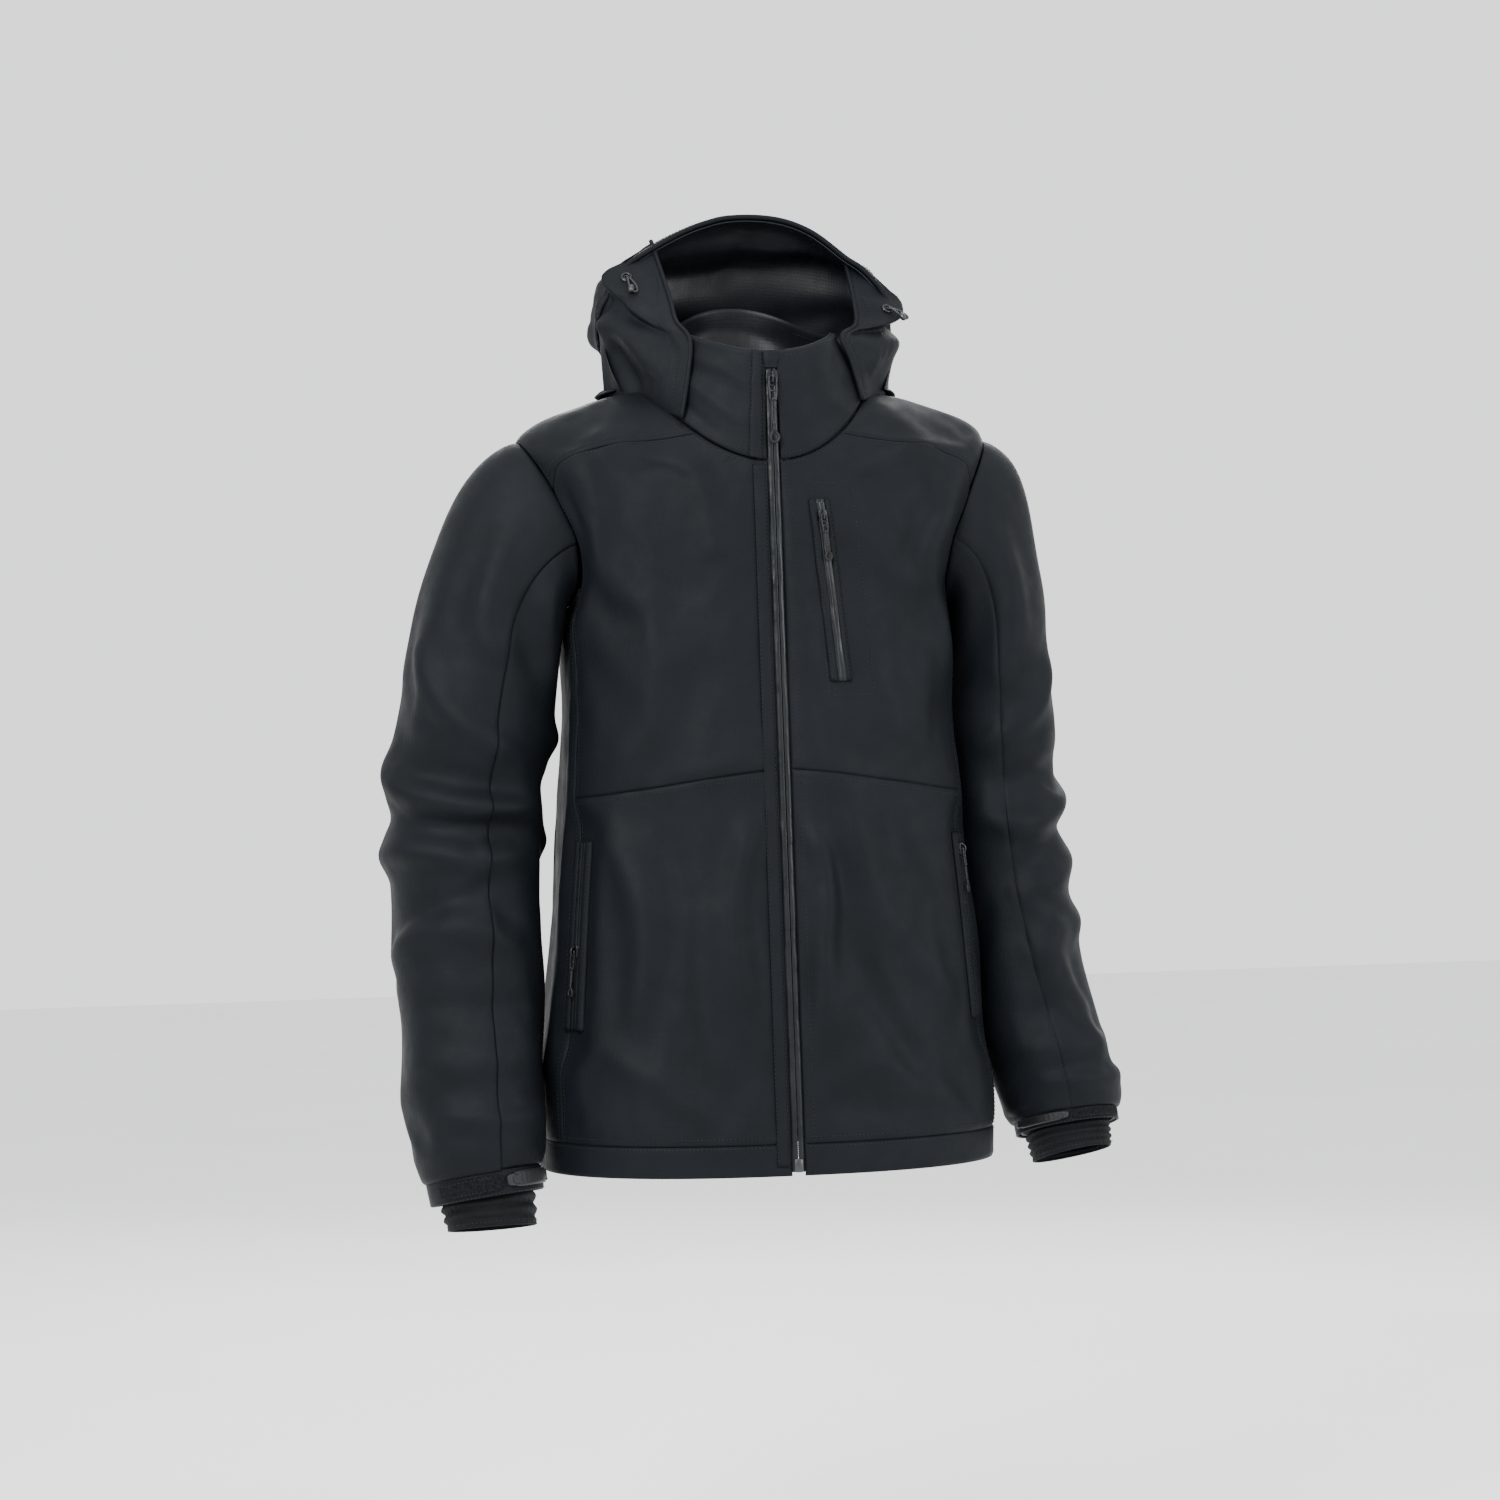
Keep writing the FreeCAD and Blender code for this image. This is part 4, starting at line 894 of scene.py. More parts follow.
for panel in PANELS:
    make_panel(panel)
    p, n = panel.p, panel.now
    if panel.kind == "body":
        stitch_row(p[:, 2], n[:, 2])
        stitch_row(p[:, -3], n[:, -3])
        stitch_row(p[-3], n[-3])
        if "lower" in panel.name or "back" in panel.name or "yoke" in panel.name:
            stitch_row(p[2], n[2])
    elif panel.kind == "hem":
        stitch_row(p[-2], n[-2])
    elif panel.kind == "cuff":
        stitch_row(p[1], n[1])
        stitch_row(p[-2], n[-2])
    elif "top" in panel.name:
        stitch_row(p[2], n[2])
        stitch_row(p[-3], n[-3])
        stitch_row(p[:, -3], n[:, -3])
        stitch_row(p[:, 2], n[:, 2])


# ------------------------------------------------------------------ surfaces with an offset
def lifted(f, u, v, off, centre):
    """Points of a surface and its outward normals at many (u, v), moved off it."""
    u, v = np.asarray(u, float), np.asarray(v, float)
    du, dv = 0.25, 0.02
    p = f(u, v)
    n = np.cross(f(u + du, v) - f(u - du, v), f(u, v + dv) - f(u, v - dv))
    n /= np.maximum(np.linalg.norm(n, axis=1)[:, None], 1e-9)
    flip = np.sum(n * (p - centre), axis=1) < 0
    n[flip] *= -1
    return p + n * np.asarray(off, float).reshape(-1, 1), n


def surface_grid(f, g_u, g_v, off, centre):
    p, n = lifted(f, g_u.ravel(), g_v.ravel(), np.broadcast_to(off, g_u.shape).ravel(), centre)
    return p.reshape(g_u.shape + (3,)), n.reshape(g_u.shape + (3,))


def bent_grid(name, p, n, thick, body, slot, *nodes, sub=1, mat=None, ring=False, uv=None):
    """A cloth or strip grid as a finished piece, its thickness inwards."""
    obj = grid_mesh(name, p, uv, ring)
    mid = (p.shape[0] - 1) // 2 * (p.shape[1] - 1) + 1
    if obj.data.polygons[mid].normal.dot(Vector(n[(p.shape[0] - 1) // 2, 1])) < 0:
        obj.data.flip_normals()
    thicken(obj, thick, sub)
    piece(obj, body, slot, *nodes, mat=mat)
    return obj


# ------------------------------------------------------------------ collar
COLLAR_MID = np.array([0, -78, 10.0])
COLLAR_FOLDS = [
    ([(100, 0.9), (128, 1.3), (160, 1.2)], 2.6, 7), ([(112, 0.3), (140, 0.55), (178, 0.6)], -2.0, 6),
    ([(98, 1.9), (120, 2.25), (150, 2.1)], 2.2, 6), ([(45, 0.5), (58, 1.4), (52, 2.5)], 2.6, 6),
    ([(30, 0.8), (42, 1.5), (38, 2.4)], -2.2, 5), ([(82, 1.2), (62, 1.0), (40, 1.4)], 1.8, 7),
    ([(200, 0.8), (240, 1.2), (290, 0.9)], 2.6, 8), ([(215, 1.9), (262, 2.2), (310, 1.9)], 2.4, 8),
    ([(160, 1.6), (175, 2.1), (196, 1.8)], 2.6, 7), ([(328, 1.2), (346, 1.9), (372, 1.4)], 2.6, 7),
]


def collar_shape(u, v, off):
    p, n = lifted(collar_at, u, v, off, COLLAR_MID)
    h = np.zeros(len(p))
    for pts, high, wide in COLLAR_FOLDS:
        line = polyline(pts, 8)
        h += crease(p, collar_at(line[:, 0] % 360, line[:, 1]), high, wide)
    h += wander(p, 0.02, 2.4, 5.0)
    h *= np.clip(np.minimum(v / 0.35, (3 - v) / 0.25), 0.1, 1)
    zip_near = np.abs(p[:, 0]) < 14
    h *= np.where((p[:, 1] < -90) & zip_near, 0.25, 1)
    return p + n * h[:, None], n


COLLAR_ZT = math.degrees(math.acos((ZIP_OPEN / 2 / 85.0) ** (2.1 / 2)))
for name, a, b in (("collar_right", 180 - COLLAR_ZT, 270.0), ("collar_left", 270.0, 360 + COLLAR_ZT)):
    g, f = np.meshgrid(fractions(230, 5.0), fractions(88, 5.0, (0.0, 2.0, 5.0)))
    u, v = a + (b - a) * g, 0.02 + 2.98 * f
    p, n = collar_shape(u.ravel(), v.ravel(), 0.6)
    p, n = p.reshape(g.shape + (3,)), n.reshape(g.shape + (3,))
    p[:1] -= n[:1] * 1.6
    p[-1:] -= n[-1:] * 2.4
    obj = bent_grid(name + "_cloth", p, n, SHELL_THICK, "jacket", "shell_fabric", name,
                    uv=np.stack([g * 230, f * 88], 2))
    stitch_row(p[-3], n[-3])
    stitch_row(p[2], n[2])
# the facing strip of the zip carries on up the right collar
g, f = np.meshgrid(np.array([0, 0.06, 0.2, 0.5, 0.8, 0.94, 1]), np.linspace(0.01, 0.985, 26))
u, v = 94.9 + 6.6 * g, 3 * f
p, n = collar_shape(u.ravel(), v.ravel(), 0.0)
p, n = p.reshape(g.shape + (3,)), n.reshape(g.shape + (3,))
p = p + n * (np.array([0.8, 1.9, 2.3, 2.4, 2.3, 1.9, 0.8])[None, :, None])
obj = bent_grid("collar_facing", p, n, 0.9, "jacket", "shell_fabric")
stitch_row(p[:, 1] + n[:, 1] * 0.2, n[:, 1])
stitch_row(p[:, 5] + n[:, 5] * 0.2, n[:, 5])
g, f = np.meshgrid(np.linspace(0, 1, 110), fractions(88, 5.0, (0.0, 2.0, 5.0)))
u, v = 180 - 79 + (180 + 158) * g, 0.02 + 2.98 * f
p, n = collar_shape(u.ravel(), v.ravel(), -3.2)
p, n = p.reshape(g.shape + (3,)), n.reshape(g.shape + (3,))
p[-1:] += n[-1:] * 1.2
obj = bent_grid("collar_lining_cloth", p, n, 1.4, "jacket", "lining_fabric", "collar_lining",
                uv=np.stack([g * 460, f * 88], 2))
stitch_row(p[-4] - n[-4] * 1.6, -n[-4])

# ------------------------------------------------------------------ hood
HOOD_MID = np.array([0.0, HOOD_Y, HOOD_Z])
# hood folds as (sideways angle, turn) points with height and width in mm
HOOD_FOLDS = [
    ([(-76, 20), (-50, 6), (-15, 2), (20, 8)], 9.0, 12), ([(-70, 44), (-40, 26), (0, 20), (44, 30), (74, 50)], -7.0, 10),
    ([(-78, 60), (-52, 42), (-14, 36), (26, 44), (72, 64)], 9.0, 12), ([(-66, 70), (-40, 58), (0, 54), (40, 60)], -6.0, 9),
    ([(30, -12), (56, 6), (76, 30)], 9.0, 11), ([(10, -20), (44, -8), (78, 8)], -6.0, 9),
    ([(-20, -18), (-52, -10), (-78, 2)], 7.0, 11), ([(-48, 74), (-56, 50), (-74, 30)], 6.0, 9),
    ([(50, 74), (60, 48), (76, 20)], 7.0, 9), ([(-6, 74), (4, 52), (-4, 30)], 3.5, 12),
]
RIM_SAG = 1.0


def hood_shape(b, turn, off):
    p, n = lifted(hood_at, b, turn, off, HOOD_MID)
    h = np.zeros(len(p))
    for pts, high, wide in HOOD_FOLDS:
        line = polyline(pts, 8)
        h += crease(p, hood_at(line[:, 0], line[:, 1]), high, wide, 0.3)
    h += wander(p, 0.016, 6.0, 21.0)
    h *= np.clip((turn - HOOD_LOW) / 16.0, 0.15, 1) * np.clip((80 - np.abs(b)) / 9.0, 0.2, 1)
    h = np.where(h < 0, -5 * np.tanh(-h / 5), h)
    sag = np.clip((turn - 40) / 36.0, 0, 1) ** 2 * RIM_SAG
    drop = sag * (7 * np.sin(np.radians(b * 2.3 + 20)) - 6 - 10 * np.exp(-((b - 44) / 20.0) ** 2))
    q = p + n * h[:, None]
    q[:, 2] += drop
    q[:, 1] += sag * 5 * np.sin(np.radians(b * 4 + 60))
    return q, n


def hood_panel(name, b0, b1, t0, t1, off, thick, mat_slot, *nodes, wide, tall, sunk=True):
    g, f = np.meshgrid(fractions(wide, 6.0), fractions(tall, 6.0))
    b, turn = b0 + (b1 - b0) * g, t0 + (t1 - t0) * f
    p, n = hood_shape(b.ravel(), turn.ravel(), off)
    p, n = p.reshape(g.shape + (3,)), n.reshape(g.shape + (3,))
    if sunk:
        p[:, :1] -= n[:, :1] * 1.3
        p[:, -1:] -= n[:, -1:] * 1.3
    obj = bent_grid(name, p, n, thick, "hood", mat_slot, *nodes,
                    uv=np.stack([g * wide, f * tall], 2))
    return p, n


for name, b0, b1, wide in (("hood_side_right", -80, -34, 105), ("hood_crown", -34, 34, 150),
                           ("hood_side_left", 34, 80, 105)):
    p, n = hood_panel(name + "_cloth", b0, b1, HOOD_LOW, HOOD_RIM, 0.6, 2.0, "shell_fabric", name,
                      wide=wide, tall=185)
    if name == "hood_crown":
        stitch_row(p[:, 2], n[:, 2], "hood")
        stitch_row(p[:, -3], n[:, -3], "hood")
p, n = hood_panel("hood_brim_cloth", -79, 79, HOOD_RIM - 10, HOOD_RIM + 0.6, 2.4, 1.8,
                  "shell_fabric", "hood_brim", wide=420, tall=22, sunk=False)
stitch_row(p[1], n[1], "hood")
stitch_row(p[-3], n[-3], "hood")
hood_panel("hood_lining_cloth", -79, 79, HOOD_LOW + 1, HOOD_RIM, -2.8, 1.2, "lining_fabric",
           "hood_lining", wide=350, tall=180, sunk=False)
# binding round the opening edge
edge_b = np.linspace(-79, 79, 90)
q, n = hood_shape(edge_b, np.full(90, HOOD_RIM + 0.4), 0.2)
obj = add_mesh("hood_edge_binding", *tube(q, 2.3, 8))
piece(obj, "hood", "shell_fabric")

# ------------------------------------------------------------------ hood fronts at the neck
def collar_spot(turn, v, off, up=0.0):
    p, _ = lifted(collar_at, [turn], [v], off, COLLAR_MID)
    return p[0] + np.array([0, 0, up])


def hood_spot(b, turn, off=0.0):
    return lifted(hood_at, [b], [turn], off, HOOD_MID)[0][0]


def shoulder_spot(turn, v, off):
    return lifted(body_at, [turn], [v], off, COLLAR_MID)[0][0]


# back edge and front edge of each side, from the top down, then folds as (row, column, high, wide)
HOOD_FRONTS = {
    -1: ([hood_spot(-38, 69, -0.5), hood_spot(-56, 73, 1.5), hood_spot(-70, 64, 1.0),
          hood_spot(-79, 40, -1.0), shoulder_spot(186, 10.45, 2.0)],
         [hood_spot(-37, 73, 0.0), np.array([-71.0, -92, 74]), np.array([-70.0, -118, 50]),
          collar_spot(142, 2.75, 6.0), collar_spot(137, 1.5, 5.0), collar_spot(136, 0.12, 3.5)],
         [((0.30, 0.15), (0.36, 0.5), (0.52, 0.85), 7.0, 0.10),
          ((0.46, 0.05), (0.50, 0.45), (0.70, 0.9), -6.0, 0.08),
          ((0.62, 0.1), (0.62, 0.45), (0.86, 0.75), 6.5, 0.09),
          ((0.20, 0.9), (0.34, 0.75), (0.44, 0.35), -5.0, 0.07),
          ((0.72, 0.25), (0.80, 0.35), (0.95, 0.5), -5.0, 0.08),
          ((0.12, 0.4), (0.22, 0.45), (0.34, 0.3), 4.0, 0.09)]),
    1: ([hood_spot(46, 65, -1.0), hood_spot(60, 70, 2.0), hood_spot(74, 56, 3.0),
         hood_spot(80, 20, 1.0), shoulder_spot(-6, 10.45, 2.0)],
        [hood_spot(45, 68, -1.0), np.array([92.0, -82, 74]), np.array([90.0, -97, 50]),
         collar_spot(26, 2.7, 6.0), collar_spot(28, 1.5, 5.0), collar_spot(30, 0.12, 3.5)],
        [((0.34, 0.1), (0.44, 0.5), (0.50, 0.9), 9.0, 0.10),
         ((0.52, 0.05), (0.58, 0.5), (0.62, 0.95), -7.0, 0.07),
         ((0.66, 0.1), (0.70, 0.5), (0.80, 0.85), 6.0, 0.09),
         ((0.22, 0.9), (0.30, 0.6), (0.30, 0.2), -4.0, 0.07)]),
}


# jacket and hood bodies and two levels for the hood fronts; pieces given this are baked in place
HOOD_BEND = ("jacket", "hood", (0, -0.1, 0.012), (0, -0.1, 0.078))


def even(points, n):
    line = polyline(points, 12)
    d = np.concatenate([[0], np.cumsum(np.linalg.norm(np.diff(line, axis=0), axis=1))])
    t = np.linspace(0, d[-1], n)
    return np.stack([np.interp(t, d, line[:, k]) for k in range(3)], 1)


for hand, side in SIDES:
    back, front, folds = HOOD_FRONTS[hand]
    rows, cols = 44, 30
    back, front = even(back, rows), even(front, rows)
    f, g = np.meshgrid(np.linspace(0, 1, rows), np.linspace(0, 1, cols), indexing="ij")
    p = back[:, None] * (1 - g[..., None]) + front[:, None] * g[..., None]
    away = p - np.array([0, -80.0, 30.0])
    away[..., 2] *= 0.3
    away /= np.linalg.norm(away, axis=2, keepdims=True)
    h = 13.0 * np.sin(np.pi * g) ** 0.8 * np.clip(np.minimum(f * 4, (1 - f) * 3), 0, 1) ** 0.7
    for a, b, c, high, wide in folds:
        line = polyline([(a[0], a[1], 0), (b[0], b[1], 0), (c[0], c[1], 0)], 8)
        flat = np.stack([f.ravel(), g.ravel(), 0 * f.ravel()], 1)
        h += crease(flat, line, high, wide).reshape(f.shape) * np.clip(
            6 * np.minimum(g, 1 - g) + 0.15, 0, 1) * 1.5
    h += wander(p.reshape(-1, 3), 0.03, 4.0, 31.0).reshape(f.shape) * np.clip(
        5 * np.minimum(g, 1 - g), 0, 1)
    p = p + away * h[..., None]
    n = point_out(p, grid_normals(p), p - away)
    obj = bent_grid("hood_front_%s_cloth" % side, p, n, 2.2, HOOD_BEND, "shell_fabric",
                    uv=np.stack([g * 90, f * 170], 2))
    edge = add_mesh("hood_front_%s_binding" % side, *tube(p[:, -1] + n[:, -1] * 0.2, 2.0, 8))
    piece(edge, HOOD_BEND, "shell_fabric")
    stitch_row(p[2:, -4] + n[2:, -4] * 0.2, n[2:, -4], "hood_fronts")
    HOOD_FRONTS[hand] = (obj, edge, p, n)

# cloth that joins the hood's lower edge to the neck seam
w, f = np.meshgrid(np.linspace(0, 1, 120), np.linspace(0, 1, 16))
low, _ = lifted(body_at, (172 + 196 * w).ravel(), np.full(w.size, 10.66), np.full(w.size, 3.0),
                COLLAR_MID)
high = hood_at((-79.5 + 159 * w).ravel(), (-18 + 60 * np.abs(2 * w - 1) ** 6).ravel())
high = high - (high - HOOD_MID) * 0.03
low, high = low.reshape(w.shape + (3,)), high.reshape(w.shape + (3,))
p = low * (1 - f[..., None]) + high * f[..., None]
away = p - np.array([0, -60.0, 0])
away[..., 2] = 0
away /= np.linalg.norm(away, axis=2, keepdims=True)
h = (3.0 * np.sin(np.pi * f) + 1.6 * np.sin(w * 71 + 2.5 * f) * np.sin(np.pi * f)
     + 1.2 * np.sin(w * 37 + 4 * f + 1) * np.sin(np.pi * f))
p = p + away * h[..., None]
obj = grid_mesh("hood_neck_cloth", p, np.stack([w * 400, f * 40], 2))
obj.data.materials.append(SHELL)
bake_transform(obj)

# eyelet, elastic loop and small cord end on each hood front
for hand, side in SIDES:
    _, _, p, n = HOOD_FRONTS[hand]
    i, j = (12, 17) if hand < 0 else (17, 21)
    at, out = p[i, j], n[i, j] / np.linalg.norm(n[i, j])
    down = p[i + 3, j] - p[i, j]
    down /= np.linalg.norm(down)
    across = np.cross(out, down)
    a = np.linspace(0, 2 * np.pi, 26, endpoint=False)
    rim = at + out * 0.7 + 4.0 * (np.cos(a)[:, None] * across + np.sin(a)[:, None] * down)
    obj = add_mesh("hood_eyelet_%s" % side, *merged([
        tube(rim, 1.15, 8, True), tube(at + out * 0.1 + 2.2 * (
            np.cos(a)[:, None] * across + np.sin(a)[:, None] * down), 0.8, 6, True)]))
    piece(obj, HOOD_BEND, "zip_metal")
    q = [at + out * 0.5, at + out * 3.5 + down * 4 + across * 1.5,
         at + out * 4.0 + down * 12 + across * 3.5, at + out * 3.0 + down * 17 + across * 7,
         at + out * 3.0 + down * 16 + across * 10.5, at + out * 3.4 + down * 10 + across * 8.5,
         at + out * 2.6 + down * 3 + across * 3.5, at + out * 0.4 + across]
    obj = add_mesh("hood_loop_%s" % side, *tube(polyline(q, 6), 1.0, 8))
    piece(obj, HOOD_BEND, "pull_cord")
    stop = at + out * 3.6 + down * 14.5 + across * 5.2
    obj = add_mesh("hood_loop_stop_%s" % side, *tube(
        [stop - down * 3.4, stop - down * 3.2, stop - down * 2, stop, stop + down * 2.6,
         stop + down * 3.8, stop + down * 4.0], [0.3, 1.9, 2.6, 2.9, 2.5, 1.6, 0.3], 14))
    piece(obj, HOOD_BEND, "lock_plastic")

# gathered roll where the hood joins the neck
u = np.linspace(176, 364, 150)
v = 10.28 + 0.25 * np.abs(np.cos(np.radians(u)))
ring_u, ring_a = np.meshgrid(u, np.linspace(0, 360, 17))
taper = np.sqrt(np.clip(np.minimum(ring_u - 176, 364 - ring_u) / 14.0, 0.0004, 1))
swell = taper * (3.4 + 0.9 * np.sin(ring_u * 1.9) + 0.6 * np.sin(ring_u * 0.71 + 1))
rise = 0.30 * taper * np.sin(np.radians(ring_a))
lo, n = lifted(body_at, ring_u.ravel(), 10.58 + rise.ravel(),
               4.2 + (swell * np.cos(np.radians(ring_a))).ravel(), COLLAR_MID)
p = lo.reshape(ring_u.shape + (3,))
n = (n.reshape(p.shape) * np.cos(np.radians(ring_a))[..., None])
obj = grid_mesh("hood_base_roll", p)
obj.data.polygons.foreach_set("use_smooth", [True] * len(obj.data.polygons))
piece(obj, "jacket", "shell_fabric", "hood_base")


# ------------------------------------------------------------------ zips
class Zip:
    """Frame of a zip: z up the zip, -y out of the cloth, the slider's middle at the origin."""

    def __init__(self, start, end, out, rest, scale):
        start, end, out = (np.array(q, float) for q in (start, end, out))
        self.long = np.linalg.norm(end - start)
        self.z = (start - end) / self.long
        y = -out
        self.y = y - self.z * np.dot(y, self.z)
        self.y /= np.linalg.norm(self.y)
        self.x = np.cross(self.y, self.z)
        self.start, self.rest, self.k = start, rest, scale
        self.at = start - self.z * rest

    def place(self, p, origin=None):
        p = np.asarray(p, float).reshape(-1, 3)
        o = self.at if origin is None else origin
        return o + p[:, :1] * self.x + p[:, 1:2] * self.y + p[:, 2:] * self.z


def front_line(x_top, z_top, x_low, z_low):
    a, b = front_spot(x_top, z_top), front_spot(x_low, z_low)
    spots = [front_spot(x_top + (x_low - x_top) * k / 20, z_top + (z_low - z_top) * k / 20)
             for k in range(21)]
    return a, b, np.array(spots)


MAIN = Zip((0, zip_y(18), 18), (0, zip_y(HEM + 2), HEM + 2), (0, -1, 0), 22.0, 1.0)
CHEST = Zip((38.1, -179.6, -105.9), (52.1, -188.2, -257.9), (0.090, -0.995, 0.049), 14.0, 0.75)
HAND = {side: Zip((161.25 * hand, -132.89, -387.9), (174.0 * hand, -139.6, -544.9),
                  (0.875 * hand, -0.475, 0.089), 14.0 if hand > 0 else 92.0, 0.75)
        for hand, side in SIDES}


def round_plate(outline, y0, y1, bevel=0.35, rings=2):
    """Plate between two depths whose outline is (x, z) points, with rounded rims."""
    o = np.array(outline, float)
    c = o.mean(axis=0)
    layers = [(y0, 1 - bevel / 4), (y0 + np.sign(y1 - y0) * bevel, 1.0),
              (y1 - np.sign(y1 - y0) * bevel, 1.0), (y1, 1 - bevel / 4)]
    verts = [np.stack([c[0] + (o[:, 0] - c[0]) * s, np.full(len(o), y),
                       c[1] + (o[:, 1] - c[1]) * s], 1) for y, s in layers]
    n = len(o)
    faces = [(a * n + i, a * n + (i + 1) % n, (a + 1) * n + (i + 1) % n, (a + 1) * n + i)
             for a in range(3) for i in range(n)]
    faces += [tuple(range(n))[::-1], tuple(3 * n + i for i in range(n))]
    return np.concatenate(verts), faces


def shield(w, l, n=28):
    """Outline of a slider plate: two shoulders at the top that narrow to a round foot."""
    pts = []
    for a in np.linspace(0, 2 * np.pi, n, endpoint=False):
        c, s = math.cos(a), math.sin(a)
        x = np.sign(c) * abs(c) ** 0.6 * w / 2 * (1.0 if s > 0 else 1 - 0.30 * abs(s) ** 1.5)
        z = np.sign(s) * abs(s) ** 0.62 * l / 2
        if s > 0.75:
            z -= (0.10 * l) * math.exp(-(x / (0.16 * w)) ** 2)
        pts.append((x, z))
    return pts


def slider_piece(name, zipper, body):
    k = zipper.k
    top, foot = -0.5 - 3.2 * k, -0.5
    parts = [round_plate(shield(10 * k, 15 * k), top, top + 1.3 * k, 0.3),
             round_plate(shield(9.4 * k, 14.4 * k), foot - 1.1 * k, foot, 0.25)]
    parts.append(round_plate([(-1.6 * k, 5.6 * k), (1.6 * k, 5.6 * k), (1.0 * k, -3 * k),
                              (-1.0 * k, -3 * k)], top + k, foot - k, 0.2))
    for side in (-1, 1):
        rail = [(side * 4.3 * k, top + 1.6 * k, 3.2 * k), (side * 4.5 * k, top + 1.6 * k, 0.5 * k),
                (side * 3.7 * k, top + 1.6 * k, -4.4 * k), (side * 3.2 * k, top + 1.6 * k, -6.6 * k)]
        parts.append(tube(polyline(rail, 4), 0.62 * k, 6))
    arch = [(0, top + 0.4 * k, 5.6 * k), (0, top - 2.2 * k, 4.2 * k), (0, top - 4.0 * k, 1.6 * k),
            (0, top - 4.1 * k, -1.6 * k), (0, top - 2.4 * k, -4.0 * k), (0, top + 0.4 * k, -5.0 * k)]
    parts.append(tube(polyline(arch, 5), 1.05 * k, 8))
    verts, faces = merged(parts)
    obj = add_mesh(name + "_body", zipper.place(verts), faces)
    m = obj.modifiers.new("rim", "BEVEL")
    m.width, m.segments, m.limit_method = 0.18 * k * MM, 2, "ANGLE"
    return piece(obj, body, "zip_metal", name)


def puller_piece(name, zipper, body, cord, mould):
    """Metal link, braided cord folded double through it, and a moulded drop at its end."""
    k = zipper.k
    y = -0.5 - 3.2 * k - 2.1 * k
    wire = [(0.0, y, 0.6 * k), (2.5 * k, y, 0.2 * k), (3.2 * k, y, -4 * k), (3.2 * k, y, -10 * k),
            (2.7 * k, y, -17 * k), (1.6 * k, y, -20.0 * k), (-1.6 * k, y, -20.0 * k),
            (-2.7 * k, y, -17 * k), (-3.2 * k, y, -10 * k), (-3.2 * k, y, -4 * k),
            (-2.5 * k, y, 0.2 * k)]
    link = [tube(polyline(wire + wire[:1], 4), 0.85 * k, 8)]
    link.append(tube([(-3 * k, y, -11.5 * k), (3 * k, y, -11.5 * k)], 0.8 * k, 8))
    obj = add_mesh(name + "_link", zipper.place(merged(link)[0]), merged(link)[1])
    piece(obj, body, "zip_metal", name)
    low = -19.4 * k - cord
    t = np.linspace(0, 1, 40)
    strands = []
    for side in (-1, 1):
        for turn in (0.0, math.pi):
            x = side * (1.05 * k * np.sin(np.pi * np.clip(t * 1.1 + 0.12, 0, 1)) * 0.5 + 0.55 * k)
            wind = t * cord / (2.6 * k) * 2 * np.pi * 0.5 + turn
            strands.append(tube(np.stack([x + 0.33 * k * np.cos(wind * side),
                                          y + 0.33 * k * np.sin(wind * side),
                                          -19.2 * k + (low + 19.2 * k) * t], 1), 0.50 * k, 6))
    loop = [(-0.9 * k, y, -19.6 * k), (-0.9 * k, y - 1.1 * k, -18.8 * k), (0, y - 1.4 * k, -18.0 * k),
            (0.9 * k, y - 1.1 * k, -18.8 * k), (0.9 * k, y, -19.6 * k)]
    strands.append(tube(polyline(loop, 4), 0.8 * k, 6))
    obj = add_mesh(name + "_cord", zipper.place(merged(strands)[0]), merged(strands)[1])
    piece(obj, body, "pull_cord")
    # drop: neck sleeve, shoulders and a rounded loop with a hollow in the middle
    r, tip = 4.0 * k, low - 4.0 * k
    drop = [tube([(0, y, low + 5.5 * k), (0, y, low + 2 * k), (0, y, low - 0.5 * k)],
                 [1.35 * k, 1.7 * k, 1.9 * k], 12)]
    ring = [(0, y, low + 0.5 * k), (1.6 * k, y, low - 1.2 * k), (3.6 * k, y, low - 4.6 * k),
            (2.6 * k, y, low - 8.0 * k), (0, y, low - 9.2 * k), (-2.6 * k, y, low - 8.0 * k),
            (-3.6 * k, y, low - 4.6 * k), (-1.6 * k, y, low - 1.2 * k)]
    drop.append(tube(polyline(ring + ring[:1], 5), 1.35 * k, 10))
    obj = add_mesh(name + "_drop", zipper.place(merged(drop)[0]), merged(drop)[1])
    return piece(obj, body, mould, mat=RUBBER_DARK)


for name, zipper, slide, swing, cord in (
        ("main_zip", MAIN, "main_zip_slider", "main_zip_puller", 26.0),
        ("chest_zip", CHEST, "chest_zip_slider", "chest_zip_puller", 16.0)):
    slider_piece(slide, zipper, slide)
    puller_piece(swing, zipper, swing, cord, "pull_cord")
for hand, side in SIDES:
    slider_piece("hand_zip_slider_%s" % side, HAND[side], "hand_zip_%s_slider" % side)
    puller_piece("hand_zip_puller_%s" % side, HAND[side], "hand_zip_%s_puller" % side, 16.0,
                 "pull_cord")


def smooth_noise(t, scale, seed):
    return np.array([noise.noise(Vector((q * scale, seed, 0.37))) for q in t])


